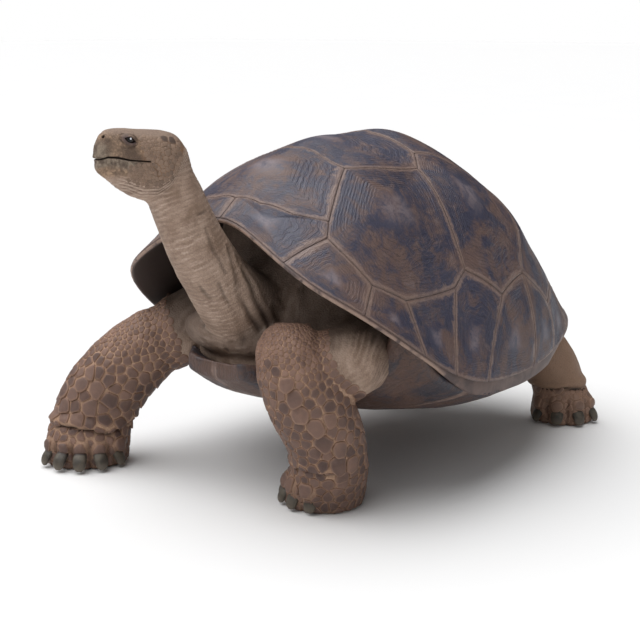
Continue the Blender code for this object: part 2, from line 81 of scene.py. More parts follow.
# ---- camera, floor and light --------------------------------------------------------
# The animal is seen from its front left, a little above its back's middle height, on a
# plain pale floor. Broad light from above does most of the work, with a weak fill in front
# and a small light for the eye. The surround looks white, but gives little light.
CAMERA_AZIMUTH = math.radians(40)
CAMERA_ELEVATION = math.radians(12.6)
CAMERA_DISTANCE = 3.0
CAMERA_TARGET = Vector(BODY + np.array((-0.052, 0.0, 0.32)))
CAMERA_LENS = 74.8
back_to_camera = Vector((math.sin(CAMERA_AZIMUTH) * math.cos(CAMERA_ELEVATION),
                         -math.cos(CAMERA_AZIMUTH) * math.cos(CAMERA_ELEVATION),
                         math.sin(CAMERA_ELEVATION)))
camera = bpy.data.objects.new("camera", bpy.data.cameras.new("camera"))
camera.data.lens = CAMERA_LENS
camera.data.sensor_width = 36
camera.location = CAMERA_TARGET + back_to_camera * CAMERA_DISTANCE
camera.rotation_euler = back_to_camera.to_track_quat("Z", "Y").to_euler()
bpy.context.scene.collection.objects.link(camera)
bpy.context.scene.camera = camera
bpy.context.scene.view_settings.view_transform = "Standard"


def add_object(name, bm, material=None):
    """Turn a finished bmesh into an object at the origin."""
    mesh = bpy.data.meshes.new(name)
    bm.to_mesh(mesh)
    bm.free()
    mesh.shade_smooth()
    piece = bpy.data.objects.new(name, mesh)
    bpy.context.scene.collection.objects.link(piece)
    if material:
        mesh.materials.append(material)
    return piece


def join_in(bm, part):
    """Move a finished bmesh into another."""
    mesh = bpy.data.meshes.new("part")
    part.to_mesh(mesh)
    part.free()
    bm.from_mesh(mesh)
    bpy.data.meshes.remove(mesh)


def new_material(name):
    """An empty node material, with its tree, its shader and each point's own place."""
    material = bpy.data.materials.new(name)
    material.use_nodes = True
    tree = material.node_tree
    where = tree.nodes.new("ShaderNodeTexCoord").outputs["Object"]
    return material, tree, tree.nodes["Principled BSDF"], where


def put(tree, kind, settings=None, **inputs):
    """Add a node. An input is given a value, or another node's output to take."""
    node = tree.nodes.new(kind)
    for key, value in (settings or {}).items():
        setattr(node, key, value)
    for key, value in inputs.items():
        socket = node.inputs[int(key[1:])] if key[0] == "i" and key[1:].isdigit() else node.inputs[key]
        if isinstance(value, bpy.types.NodeSocket):
            tree.links.new(value, socket)
        else:
            socket.default_value = value
    return node


def maths(tree, operation, first, second=0.0, third=0.0):
    """The result of one sum."""
    clamp = {"operation": operation}
    return put(tree, "ShaderNodeMath", clamp, i0=first, i1=second, i2=third).outputs[0]


def blend_colour(tree, share, first, second, mode="MIX"):
    """One colour laid over another by a share from 0 to 1."""
    node = tree.nodes.new("ShaderNodeMix")
    node.data_type = "RGBA"
    node.blend_type = mode
    for index, value in ((0, share), (6, first), (7, second)):
        if isinstance(value, bpy.types.NodeSocket):
            tree.links.new(value, node.inputs[index])
        else:
            node.inputs[index].default_value = value if index == 0 else (*value, 1)
    return node.outputs[2]


def field(tree, name):
    """One number stored on the surface."""
    return put(tree, "ShaderNodeAttribute", {"attribute_name": name}).outputs["Fac"]


def ramp(tree, value, low, high, start=0.0, end=1.0):
    """A value spread smoothly from one range to another."""
    node = tree.nodes.new("ShaderNodeMapRange")
    node.interpolation_type = "SMOOTHSTEP"
    tree.links.new(value, node.inputs["Value"])
    for key, number in (("From Min", low), ("From Max", high), ("To Min", start), ("To Max", end)):
        node.inputs[key].default_value = number
    return node.outputs["Result"]


def cloud(tree, where, scale, detail=3.0, distortion=0.0, roughness=0.5):
    """A soft cloud pattern about 0.5."""
    return put(tree, "ShaderNodeTexNoise", None, Vector=where, Scale=scale, Detail=detail,
               Roughness=roughness, Distortion=distortion).outputs["Fac"]


def tint(tree, colour, tone, share, strength=1.0):
    """A tone laid over a colour where a share says, and by a strength."""
    if strength != 1.0:
        share = maths(tree, "MULTIPLY", share, strength)
    return blend_colour(tree, share, colour, tone)


def finish_material(tree, shader, colour, roughness, height, strength, distance):
    """Join a colour, a roughness and a height to a material's shader."""
    tree.links.new(colour, shader.inputs["Base Color"])
    if isinstance(roughness, bpy.types.NodeSocket):
        tree.links.new(roughness, shader.inputs["Roughness"])
    else:
        shader.inputs["Roughness"].default_value = roughness
    bump = put(tree, "ShaderNodeBump", None, Height=height, Strength=strength, Distance=distance)
    tree.links.new(bump.outputs["Normal"], shader.inputs["Normal"])


FLOOR_SIZE = 60.0
WORLD_LIGHT = 0.035
floor_mesh = bmesh.new()
bmesh.ops.create_grid(floor_mesh, x_segments=1, y_segments=1, size=FLOOR_SIZE)
floor_material, tree, shader, where = new_material("pale_floor")
grey = ramp(tree, cloud(tree, where, 1.5), 0.3, 0.7)
floor_colour = blend_colour(tree, grey, (0.808, 0.808, 0.812), (0.815, 0.815, 0.815))
tree.links.new(floor_colour, shader.inputs["Base Color"])
shader.inputs["Roughness"].default_value = 0.6
shader.inputs["Specular IOR Level"].default_value = 0.2
floor = add_object("floor", floor_mesh, floor_material)

world = bpy.data.worlds.new("studio")
world.use_nodes = True
sky = world.node_tree
seen = sky.nodes.new("ShaderNodeLightPath").outputs["Is Camera Ray"]
strength = maths(sky, "MULTIPLY_ADD", seen, 1.0 - WORLD_LIGHT, WORLD_LIGHT)
sky.nodes["Background"].inputs["Color"].default_value = (1.0, 1.0, 1.0, 1)
sky.links.new(strength, sky.nodes["Background"].inputs["Strength"])
bpy.context.scene.world = world


def add_sun(name, aim, strength, breadth):
    """An even light from far off, soft because it is broad."""
    light = bpy.data.lights.new(name, "SUN")
    light.energy = strength
    light.angle = math.radians(breadth)
    lamp = bpy.data.objects.new(name, light)
    lamp.rotation_euler = Vector(aim).to_track_quat("Z", "Y").to_euler()
    bpy.context.scene.collection.objects.link(lamp)


add_sun("overhead", (-0.30, -0.24, 1.0), 3.55, 76)
add_sun("sky_dome", (0.0, 0.0, 1.0), 0.60, 125)
add_sun("front_fill", (0.30, -1.0, 0.55), 0.36, 45)
add_sun("eye_light", (0.95, -0.02, 0.31), 0.16, 12)


# ---- carapace -----------------------------------------------------------------------
# A high vault of bone under thin horn scutes: five down the back, four on each side and
# a row of marginals round a rim that flares up in front. The horn grows in rings round
# the smooth boss of each scute, and the seams between scutes wear to a paler tan.
APEX_Y = 0.13
SHELL_TOP = 0.733
RIM_REACH = (0.50, 0.56, 0.455, 0.385, 0.41, 0.50, 0.53)
RIM_HEIGHT = (0.598, 0.471, 0.285, 0.24, 0.25, 0.29, 0.285)
RIM_SLOPE = (38, 42, 62, 92, 95, 52, 50)
CROWN = (0.50, 0.58, 0.63, 0.63, 0.52, 0.43, 0.40)
WALL = (0.20, 0.19, 0.20, 0.19, 0.16, 0.18, 0.20)
SHELL_THICK = 0.018
RIM_ROUND = 0.0065
HORN_DEPTH = 0.0045         # how deep a scute sits in the bone
BONE_BELOW = 0.0014         # the bone between scutes, below their face

# Bosses: place on the vault seen from above (left, back; 1 is the rim), height, breadth.
BOSSES = (
    (0.0, -0.68, 0.010, 0.080),
    (0.0, -0.30, 0.012, 0.085),
    (0.0, 0.03, 0.010, 0.085),
    (0.0, 0.38, 0.012, 0.075),
    (0.0, 0.74, 0.008, 0.070),
    (0.355, -0.380, 0.012, 0.090),
    (0.389, -0.027, 0.012, 0.090),
    (0.415, 0.313, 0.012, 0.085),
    (0.349, 0.630, 0.009, 0.070),
)


def smooth_value(values, share):
    """A Catmull-Rom curve through evenly spaced values or points, read at a share 0..1."""
    values = np.asarray(values, float)
    last = len(values) - 1
    place = np.atleast_1d(np.asarray(share, float)) * last
    first = np.clip(np.floor(place).astype(int), 0, last - 1)
    t = place - first
    ends = [2 * values[:1] - values[1:2], values, 2 * values[-1:] - values[-2:-1]]
    padded = np.concatenate(ends)
    if values.ndim > 1:
        t = t[:, None]
    a, b, c, d = (padded[first + step] for step in range(4))
    return 0.5 * (2 * b + (c - a) * t + (2 * a - 5 * b + 4 * c - d) * t ** 2
                  + (3 * b - a - 3 * c + d) * t ** 3)


def round_value(values, angle):
    """A value given every 30 degrees from the front to the rear, the same on both sides."""
    turned = np.abs((np.degrees(angle) + 180) % 360 - 180)
    mirrored = (values[1],) + tuple(values) + (values[-2],)
    return smooth_value(mirrored, (turned / 30 + 1) / (len(mirrored) - 1))


def vault(angle, run):
    """Points of the plain vault: run goes from the apex (0) to the rim (1)."""
    reach = round_value(RIM_REACH, angle)
    height = round_value(RIM_HEIGHT, angle)
    slope = np.radians(round_value(RIM_SLOPE, angle))
    crown = round_value(CROWN, angle)
    wall = round_value(WALL, angle)
    back = 1 - run
    weights = (3 * run * back ** 2, 3 * run ** 2 * back, run ** 3)
    out = weights[0] * crown * reach + weights[1] * (reach - wall * np.cos(slope)) + weights[2] * reach
    up = ((back ** 3 + weights[0]) * SHELL_TOP + weights[1] * (height + wall * np.sin(slope))
          + weights[2] * height)
    return np.stack((out * np.sin(angle), APEX_Y - out * np.cos(angle), up), -1)


def vault_normal(angle, run):
    step = 0.01
    run = np.clip(run, 2 * step, 1.0)
    round_way = vault(angle + step, run) - vault(angle - step, run)
    down_way = vault(angle, np.minimum(run + step, 1)) - vault(angle, run - step)
    normal = np.cross(down_way, round_way)
    return normal / np.linalg.norm(normal, axis=-1, keepdims=True)


def hill(value, breadth, power=2):
    """1 where a value is 0, and less and less on both sides of it."""
    return np.exp(-(value / breadth) ** power)


def vault_point(u, v):
    """One point of the plain vault, by its place seen from above."""
    return vault(np.array([math.atan2(u, -v)]), np.array([math.hypot(u, v)]))[0]


BOSS_PLACES = [(vault_point(side * u, v), height, breadth)
               for u, v, height, breadth in BOSSES for side in ((1, -1) if u else (1,))]


def shell_face(u, v, depth=0.0):
    """The domed face of the shell at a place seen from above, or a depth under it."""
    angle = np.arctan2(u, -v)
    run = np.minimum(np.hypot(u, v), 1.0)
    point = vault(angle, run)
    lift = sum(height * hill(np.linalg.norm(point - centre, axis=-1), breadth)
               for centre, height, breadth in BOSS_PLACES)
    return point + vault_normal(angle, run) * (lift - depth)[:, None]


def wrapped_grid(columns, rows, place):
    """A closed body made from one sheet, wrapped round and drawn together at both ends.

    place(turn, row) gives the points, and values for named attributes of the mesh.
    """
    bm = bmesh.new()
    bmesh.ops.create_grid(bm, x_segments=columns, y_segments=rows, size=1)
    flat = np.array([vert.co for vert in bm.verts])
    turn = (flat[:, 0] + 1) / 2
    row = np.rint((flat[:, 1] + 1) / 2 * rows).astype(int)
    turn[turn > 1 - 0.5 / columns] = 0.0
    points, fields = place(turn, row)
    layers = [(bm.verts.layers.float.new(name), values) for name, values in fields.items()]
    for index, vert in enumerate(bm.verts):
        vert.co = points[index]
        for layer, values in layers:
            vert[layer] = values[index]
    bmesh.ops.remove_doubles(bm, verts=bm.verts, dist=1e-5)
    bmesh.ops.recalc_face_normals(bm, faces=bm.faces)
    return bm


# The scutes' outlines from above, in the same places as the bosses, on the left side.
NUCHAL = (0.0, -0.90)
V1_FRONT = ((0.312, -0.637), (0.238, -0.762), (0.12, -0.865))
V2_CORNERS = ((0.175, -0.365), (0.263, -0.125), (0.200, -0.062))
COSTAL_LOW = ((0.350, -0.700), (0.525, -0.688), (0.600, -0.587), (0.638, -0.300), (0.613, -0.212),
              (0.725, -0.037), (0.645, 0.175), (0.690, 0.400), (0.545, 0.585), (0.394, 0.742))
V3_REAR = (0.300, 0.288)
V4_SIDE = (0.270, 0.440)
V4_REAR = (0.200, 0.580)
V5_SIDE = (0.250, 0.700)
V5_LOW = (0.336, 0.790)
V5_REAR = (0.210, 0.844)
RIM_ANGLES = (0, 19.4, 36, 49.6, 59, 72, 103, 120, 137, 152, 166, 194)


def both_sides(corners, front, rear):
    """A midline scute: its left corners front to rear, mirrored, with its two ends."""
    left = list(corners)
    right = [(-u, v) for u, v in reversed(left)]
    return [front] + left + [rear] + right


VERTEBRALS = (
    (both_sides(list(reversed(V1_FRONT)) + [V2_CORNERS[0]], NUCHAL, (0.0, -0.480)), (0.0, -0.68)),
    (both_sides(V2_CORNERS, (0.0, -0.480), (0.0, -0.040)), (0.0, -0.30)),
    (both_sides((V2_CORNERS[2], V3_REAR), (0.0, -0.040), (0.0, 0.240)), (0.0, 0.06)),
    (both_sides((V3_REAR, V4_SIDE, V4_REAR), (0.0, 0.240), (0.0, 0.580)), (0.0, 0.38)),
    (both_sides((V4_REAR, V5_SIDE, V5_LOW, V5_REAR), (0.0, 0.580), (0.0, 0.870)), (0.0, 0.73)),
)
COSTAL_CORNER = (0.475, 0.288)          # where the seam between the second and third bends
COSTALS = (
    ([*V2_CORNERS[:2], *COSTAL_LOW[4::-1], V1_FRONT[0]], (0.345, -0.365)),
    ([*V2_CORNERS[1:], V3_REAR, COSTAL_CORNER, *COSTAL_LOW[6:3:-1]], (0.389, 0.000)),
    ([V3_REAR, V4_SIDE, *COSTAL_LOW[8:5:-1], COSTAL_CORNER], (0.440, 0.370)),
    ([V4_SIDE, V4_REAR, V5_SIDE, V5_LOW, *COSTAL_LOW[9:7:-1]], (0.349, 0.630)),
)
MARGINAL_TOPS = (
    (NUCHAL, *reversed(V1_FRONT), COSTAL_LOW[0]),
    *(COSTAL_LOW[first:last] for first, last in (
        (0, 2), (1, 3), (2, 4), (3, 6), (5, 7), (6, 8), (7, 9), (8, 10))),
    (COSTAL_LOW[9], V5_LOW, V5_REAR),
    (V5_REAR, (0.0, 0.870), (-0.210, 0.844)),
)


def rim_place(degrees, run=1.0):
    turn = math.radians(degrees)
    return (run * math.sin(turn), -run * math.cos(turn))


def marginal_outline(number):
    """A marginal's outline: its top corners, then the rim between its two seams."""
    top = list(MARGINAL_TOPS[number])
    near, far = RIM_ANGLES[number], RIM_ANGLES[number + 1]
    rim = [rim_place(far + (near - far) * step / 6) for step in range(7)]
    return top + rim


RING_SPACING = 0.0105       # from one raised growth ring to the next
RING_RELIEF = 0.00062
LINE_SPACING = 0.0078       # from one painted growth line to the next
SEAM_STEP = 0.0048          # how finely a scute is divided along its outline


def add_scute(bm, outline, heart, side, ring_step, seed):
    """Lay one horn scute on the shell: a thin closed body with a rounded, ringed face."""
    corners = np.array(outline + outline[:1], float)
    corners[:, 0] *= side
    heart = np.array((heart[0] * side, heart[1]))
    spots = shell_face(corners[:, 0], corners[:, 1])
    lengths = np.linalg.norm(np.diff(spots, axis=0), axis=1)
    along = np.concatenate(([0], np.cumsum(lengths)))
    centre = shell_face(heart[:1], heart[1:])[0]
    radius = np.linalg.norm(spots - centre, axis=1).mean()
    columns = int(along[-1] / SEAM_STEP)
    face_rows = int(radius / ring_step)
    lips = [0.0, 0.0, 0.006, 0.014, 0.026]
    shares = [1.0, 0.7, 0.4, 0.1] + lips + list(np.linspace(0.045, 1.0, face_rows))
    depths = [HORN_DEPTH] * 5 + [0.0010, 0.0002, 0.0, 0.0] + [0.0] * face_rows
    shares, depths = np.array(shares), np.array(depths)
    gap = 0.0003 / radius

    def place(turn, row):
        edge_u = np.interp(turn * along[-1], along, corners[:, 0])
        edge_v = np.interp(turn * along[-1], along, corners[:, 1])
        share = gap + (1 - gap) * shares[row]
        sag = 0.10 * share * (1 - share)
        wander = np.array([noise.noise((a * 5 + seed, b * 5, seed)) for a, b in zip(edge_u, edge_v)])
        share = np.clip(share + sag * wander, 0, 1)
        u = edge_u + (heart[0] - edge_u) * share
        v = edge_v + (heart[1] - edge_v) * share
        inward = share * radius
        rings = np.sin(math.tau * (inward / RING_SPACING + 1.1 * wander)) * (0.6 + 0.8 * wander)
        strength = np.clip(inward / 0.012, 0, 1) * np.clip((0.72 - share) / 0.25, 0, 1)
        seam_ridge = 0.0007 * hill(inward - 0.006, 0.004) + 0.0008 * hill(inward - 0.020, 0.010)
        relief = RING_RELIEF * rings * strength + seam_ridge
        top = depths[row] < HORN_DEPTH
        depth = depths[row] - np.where(top, relief, 0.0)
        points = BODY + shell_face(u, v, depth)
        return points, {"ring": inward, "heart": share}

    join_in(bm, wrapped_grid(columns, len(shares) - 1, place))


def srgb(red, green, blue):
    """A colour as the eye reads it, turned to the linear values that a shader takes."""
    return tuple((value / 255 / 12.92) if value <= 10 else ((value / 255 + 0.055) / 1.055) ** 2.4
                 for value in (red, green, blue))


HORN_SLATE = srgb(58, 58, 76)
HORN_BROWN = srgb(100, 79, 73)
HORN_GREY = srgb(122, 112, 118)
HORN_TAN = srgb(130, 107, 96)
HORN_DARK = srgb(42, 35, 36)
HORN_RIDGE_HIGHLIGHT = srgb(168, 146, 134)


def build_horn(name, seam_width, ring_lines, brown=0.5, slate_tone=HORN_SLATE, brown_tone=HORN_BROWN):
    """Scute horn: slate and brown patches, growth lines, a paler boss and worn tan seams."""
    material, tree, shader, where = new_material(name)
    ring = field(tree, "ring")
    heart = field(tree, "heart")
    broad = cloud(tree, where, 6.0, 5.0, 1.2, 0.6)
    mottle = cloud(tree, where, 30.0, 6.0, 0.8, 0.7)
    grain = cloud(tree, where, 260.0, 4.0)
    mixed = maths(tree, "ADD", broad, maths(tree, "MULTIPLY", maths(tree, "SUBTRACT", mottle, 0.5), 0.7))
    colour = blend_colour(tree, ramp(tree, mixed, brown - 0.12, brown + 0.14), slate_tone, brown_tone)
    colour = tint(tree, colour, HORN_GREY, ramp(tree, mottle, 0.56, 0.72), 0.35)
    wander = maths(tree, "MULTIPLY", cloud(tree, where, 11.0, 5.0, 0.3, 0.62), 0.052)
    phase = maths(tree, "MULTIPLY", maths(tree, "ADD", ring, wander), math.tau / LINE_SPACING)
    wave = maths(tree, "SINE", phase)
    fine = maths(tree, "SINE", maths(tree, "MULTIPLY", phase, 2.37))
    streak = maths(tree, "ADD", maths(tree, "MULTIPLY", wave, 0.55), maths(tree, "MULTIPLY", fine, 0.45))
    patch = ramp(tree, cloud(tree, where, 10.0, 3.0), 0.44, 0.62)
    fade = ramp(tree, heart, 0.50, 0.78, 1.0, 0.0)
    lines = maths(tree, "MULTIPLY", ramp(tree, streak, 0.25, 0.85), maths(tree, "MULTIPLY", patch, fade))
    colour = tint(tree, colour, HORN_TAN, maths(tree, "MULTIPLY", lines, ring_lines))
    furrow = maths(tree, "MULTIPLY", ramp(tree, streak, -0.35, -0.90), fade)
    colour = tint(tree, colour, HORN_DARK, furrow, 0.46)
    boss = maths(tree, "MULTIPLY", ramp(tree, heart, 0.66, 0.95), ramp(tree, mottle, 0.3, 0.6))
    colour = tint(tree, colour, HORN_GREY, boss, 0.75)
    ragged = maths(tree, "MULTIPLY", maths(tree, "SUBTRACT", mottle, 0.5), seam_width * 4.6)
    worn = ramp(tree, maths(tree, "ADD", ring, ragged), seam_width * 0.35, seam_width * 1.15, 1.0, 0.0)
    colour = tint(tree, colour, HORN_TAN, worn, 0.70)
    # Painted highlight along the raised ridge beside each seam.
    ridge = maths(tree, "MULTIPLY", ramp(tree, ring, 0.0035, 0.0050), ramp(tree, ring, 0.0085, 0.0060))
    colour = tint(tree, colour, HORN_RIDGE_HIGHLIGHT, ridge, 0.14)
    crease = ramp(tree, ring, 0.0006, 0.0030, 1.0, 0.0)
    colour = tint(tree, colour, HORN_DARK, crease, 0.34)
    dusty = ramp(tree, grain, 0.35, 0.7, 0.90, 1.08)
    dust = put(tree, "ShaderNodeCombineColor", None, Red=dusty, Green=dusty, Blue=dusty).outputs[0]
    colour = blend_colour(tree, 1.0, colour, dust, "MULTIPLY")
    height = maths(tree, "MULTIPLY", streak, maths(tree, "MULTIPLY", fade, 0.6))
    height = maths(tree, "ADD", height, maths(tree, "MULTIPLY", mottle, 0.9))
    height = maths(tree, "ADD", height, maths(tree, "MULTIPLY", grain, 0.35))
    finish_material(tree, shader, colour, ramp(tree, mottle, 0.3, 0.7, 0.40, 0.62), height, 0.6, 0.0010)
    return material


scute_horn = build_horn("scute_horn", 0.012, 0.15)


def add_scute_group(name, scutes, ring_step):
    bm = bmesh.new()
    for number, (outline, heart, side) in enumerate(scutes):
        add_scute(bm, outline, heart, side, ring_step, number + 1.5)
    piece = add_object(name, bm, scute_horn)
    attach(piece, "root")
    return piece


add_scute_group("vertebral_scutes", [(outline, heart, 1) for outline, heart in VERTEBRALS], 0.0026)
add_scute_group("costal_scutes_left", [(outline, heart, 1) for outline, heart in COSTALS], 0.0026)
add_scute_group("costal_scutes_right", [(outline, heart, -1) for outline, heart in COSTALS], 0.0026)
marginals = []
for number in range(len(MARGINAL_TOPS)):
    outline = marginal_outline(number)
    top = np.mean(MARGINAL_TOPS[number], axis=0)
    middle = rim_place((RIM_ANGLES[number] + RIM_ANGLES[number + 1]) / 2)
    heart = (top[0] * 0.4 + middle[0] * 0.6, top[1] * 0.4 + middle[1] * 0.6)
    for side in ((1,) if number == len(MARGINAL_TOPS) - 1 else (1, -1)):
        marginals.append((outline, heart, side))
add_scute_group("marginal_scutes", marginals, 0.004)


RIM_THICK = 0.011           # the shell thins to this at its edge
RIM_SKIRT = 0.021           # how far the rim runs down over the top of the bridge
SIDE_ANGLES = (52, 64, 118, 128)        # the rim turns under between these, on to the bridge


def over_bridge(angle):
    """1 where the rim runs down into the bridge, 0 at the open front and rear."""
    turned = np.abs((np.degrees(angle) + 180) % 360 - 180)
    return np.clip((turned - SIDE_ANGLES[0]) / (SIDE_ANGLES[1] - SIDE_ANGLES[0]), 0, 1) \
        * np.clip((SIDE_ANGLES[3] - turned) / (SIDE_ANGLES[3] - SIDE_ANGLES[2]), 0, 1)


def bone_place(turn, row):
    """The bone under the scutes: outer face, rounded rim, and the inner face."""
    angle = math.tau * turn
    outer_rows, lip_rows, inner_rows = 24, 7, 12
    run = np.where(row <= outer_rows, row / outer_rows,
                   np.where(row < outer_rows + lip_rows, 1.0,
                            np.clip((outer_rows + lip_rows + inner_rows - row) / inner_rows, 0, 1)))
    lip = np.clip((row - outer_rows) / lip_rows, 0, 1) * math.pi
    thick = RIM_THICK + (SHELL_THICK - RIM_THICK) * np.clip((1 - run) / 0.12, 0, 1)
    middle = (thick + BONE_BELOW * (1 - np.sin(lip))) / 2
    half = (thick - BONE_BELOW * (1 - np.sin(lip))) / 2
    depth = middle - half * np.cos(lip)
    u, v = run * np.sin(angle), -run * np.cos(angle)
    lifted = shell_face(u, v, depth)
    plain = vault(angle, run) - vault_normal(angle, run) * depth[:, None]
    points = np.where((lip < 1.5)[:, None], lifted, plain)
    outward = vault(angle, np.full_like(run, 1.0)) - vault(angle, np.full_like(run, 0.97))
    outward /= np.linalg.norm(outward, axis=1, keepdims=True)
    points = points + outward * (RIM_ROUND * np.sin(lip))[:, None]
    points[:, 2] -= RIM_SKIRT * over_bridge(angle) * np.sin(lip)
    return BODY + points, {"lip": np.sin(lip) * (1 - over_bridge(angle)),
                           "under": (lip > 2.2).astype(float)}


shell_bone_material, tree, shader, where = new_material("shell_rim")
lip = field(tree, "lip")
under = field(tree, "under")
mottle = cloud(tree, where, 30.0, 5.0, 0.5)
colour = blend_colour(tree, ramp(tree, mottle, 0.3, 0.7), srgb(74, 60, 58), srgb(104, 84, 77))
edge = maths(tree, "MULTIPLY", ramp(tree, lip, 0.2, 0.8), ramp(tree, mottle, 0.36, 0.56))
colour = tint(tree, colour, srgb(148, 124, 110), edge)
# Painted shade: the rim's underside is darker, where the shell shades it.
colour = tint(tree, colour, srgb(70, 58, 54), under)
finish_material(tree, shader, colour, 0.55, mottle, 0.4, 0.002)
shell_bone = add_object("carapace_rim", wrapped_grid(144, 43, bone_place), shell_bone_material)
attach(shell_bone, "root")
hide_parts("carapace")


# ---- plastron -----------------------------------------------------------------------
# The belly plate: flat horn over bone, its sides turned up to the carapace's rim, with
# one seam down its middle and six across it.
PLATE_SEAMS = (-0.335, -0.270, -0.130, 0.090, 0.270, 0.420)
SECTOR = 4                  # the turn, in degrees, over which the wall's top is found
WALL_FOOT = 0.235           # where the wall of the bridge starts to rise
BRIDGE_BULGE = 0.013        # the horn of the bridge, brought out flush with the marginals


def voxel_copy(name, nodes, voxel, swell, rounds, forms=()):
    """One closed, even mesh of CAD pieces and other forms, swollen so that they run together."""
    bm = bmesh.new()
    for form in forms:
        join_in(bm, form)
    for node in nodes:
        part = bmesh.new()
        part.from_mesh(frame["nodes"][node].data)
        bmesh.ops.remove_doubles(part, verts=part.verts, dist=1e-6)
        part.normal_update()
        for vert in part.verts:
            vert.co += vert.normal * swell
        join_in(bm, part)
    piece = add_object(name, bm)
    remesh = piece.modifiers.new("even", "REMESH")
    remesh.mode = "VOXEL"
    remesh.voxel_size = voxel
    smooth = piece.modifiers.new("soft", "SMOOTH")
    smooth.factor = 0.5
    smooth.iterations = rounds
    apply_modifiers(piece)
    return piece


def apply_modifiers(piece):
    """Make a piece's modifiers part of its mesh."""
    bpy.context.view_layer.update()
    made = bpy.data.meshes.new_from_object(piece.evaluated_get(bpy.context.evaluated_depsgraph_get()))
    piece.modifiers.clear()
    old = piece.data
    piece.data = made
    bpy.data.meshes.remove(old)
    made.shade_smooth()


def read_values(items, name, width=1, kind=np.int32):
    """One property of all of a mesh's points, corners or faces, as an array."""
    values = np.empty(len(items) * width, kind)
    items.foreach_get(name, values)
    return values.reshape(-1, width) if width > 1 else values


def read_points(mesh):
    """A mesh's points and normals, as arrays in the body's own axes."""
    points, normals = (read_values(mesh.vertices, name, 3, np.float32).astype(float)
                       for name in ("co", "normal"))
    return points - BODY, normals


def write_points(mesh, points):
    mesh.vertices.foreach_set("co", (points + BODY).astype(np.float32).ravel())
    mesh.update()


def write_field(mesh, name, values):
    """Store one number for each point of a mesh, for its material to read."""
    mesh.attributes.new(name, "FLOAT", "POINT").data.foreach_set("value", values.astype(np.float32))


def tighten(piece, weight, factor, rounds):
    """Even out the points that a weight picks, as a few strokes of a smoothing tool do."""
    group = piece.vertex_groups.new(name="soft")
    for index in np.nonzero(weight > 0.01)[0].tolist():
        group.add([index], float(weight[index]), "REPLACE")
    smooth = piece.modifiers.new("soft", "SMOOTH")
    smooth.vertex_group = "soft"
    smooth.factor = factor
    smooth.iterations = rounds
    apply_modifiers(piece)
    piece.vertex_groups.clear()


plastron = voxel_copy("plastron_plates", ["plastron"], 0.005, 0.0, 10)
points, normals = read_points(plastron.data)
angle = np.arctan2(points[:, 0], APEX_Y - points[:, 1])
rim_height = round_value(RIM_HEIGHT, angle)
beside_rim = over_bridge(angle) * np.clip(1 - (rim_height - 0.008 - points[:, 2]) / 0.060, 0, 1) \
    * np.clip((0.75 - normals[:, 2]) / 0.40, 0, 1)
flat_out = normals * (1, 1, 0)
points += flat_out * (BRIDGE_BULGE * beside_rim)[:, None]
points[:, 2] += 0.009 * beside_rim
# The front end of the bridge runs up under the rim, and closes the pocket behind the arm.
sector = ((np.degrees(angle) + 180) / SECTOR).astype(int)
tops = np.zeros(int(360 / SECTOR) + 1)
np.maximum.at(tops, sector, points[:, 2])
tops = np.convolve(np.pad(tops, 2, mode="edge"), np.ones(5) / 5, mode="valid")
top = np.interp(np.degrees(angle) + 180, (np.arange(len(tops)) + 0.5) * SECTOR, tops)
turned = np.abs(np.degrees(angle))
beside = np.clip((turned - 35) / 6, 0, 1) * np.clip((SIDE_ANGLES[3] - turned) / 10, 0, 1)
raised = np.clip((points[:, 2] - WALL_FOOT) / (top - WALL_FOOT), 0, 1) ** 1.5 * beside
points[:, 2] += raised * np.clip(rim_height + 0.006 - top, 0, 0.075)
write_points(plastron.data, points)
tighten(plastron, np.clip(raised * 1.5, 0, 1), 0.5, 40)
points, normals = read_points(plastron.data)
seam = np.min([np.abs(points[:, 1] - y - 0.15 * np.abs(points[:, 0])) for y in PLATE_SEAMS]
              + [np.abs(points[:, 0])], axis=0)
write_points(plastron.data, points - normals * (0.0016 * hill(seam, 0.004))[:, None])
write_field(plastron.data, "ring", seam)
write_field(plastron.data, "heart", np.zeros(len(points)))
BELLY_SLATE = srgb(44, 43, 53)
BELLY_BROWN = srgb(85, 62, 52)
plastron_horn = build_horn("plastron_horn", 0.006, 0.15, 0.42, BELLY_SLATE, BELLY_BROWN)
plastron.data.materials.append(plastron_horn)
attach(plastron, "root")
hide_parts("plastron")


# ---- skin ---------------------------------------------------------------------------
# One hide covers trunk, neck, head, legs and tail, with no seam. It is modelled over the
# body's masses: slack and ringed on the neck and in the leg pits, tight over the skull.
SKIN_VOXEL = 0.0055         # how finely the hide is first divided
SKIN_SWELL = 0.0012         # how far it stands off the body's masses
HEAD_PLACE = (Matrix.Translation((-0.100, -0.600, 0.742)) @ Matrix.Rotation(math.radians(-25), 4, "Z")
              @ Matrix.Rotation(math.radians(-7), 4, "X"))
HEAD_TURN = np.array(HEAD_PLACE.to_3x3())
HEAD_TIP = np.array(HEAD_PLACE.translation)
HEAD_STATIONS = (0.0, 0.006, 0.016, 0.030, 0.052, 0.078, 0.104, 0.130, 0.156, 0.176, 0.190)
HEAD_TOP = (0.010, 0.026, 0.0380, 0.0430, 0.0455, 0.0462, 0.0478, 0.0480, 0.041, 0.018, -0.015)
HEAD_BOTTOM = (-0.012, -0.038, -0.047, -0.056, -0.070, -0.082, -0.088, -0.084, -0.070, -0.052, -0.030)
HEAD_HALF = (0.007, 0.017, 0.0235, 0.030, 0.0405, 0.0470, 0.0515, 0.0535, 0.050, 0.040, 0.022)
HEAD_WIDEST = (0.000, -0.002, -0.004, -0.004, -0.006, -0.010, -0.012, -0.014, -0.016, -0.018, -0.024)
NECK_LINE = ((0.000, -0.140, 0.370), (-0.002, -0.265, 0.383), (-0.002, -0.338, 0.433),
             (-0.001, -0.389, 0.488), (-0.006, -0.430, 0.549), (-0.018, -0.453, 0.610),
             (-0.031, -0.467, 0.660), (-0.038, -0.472, 0.695))
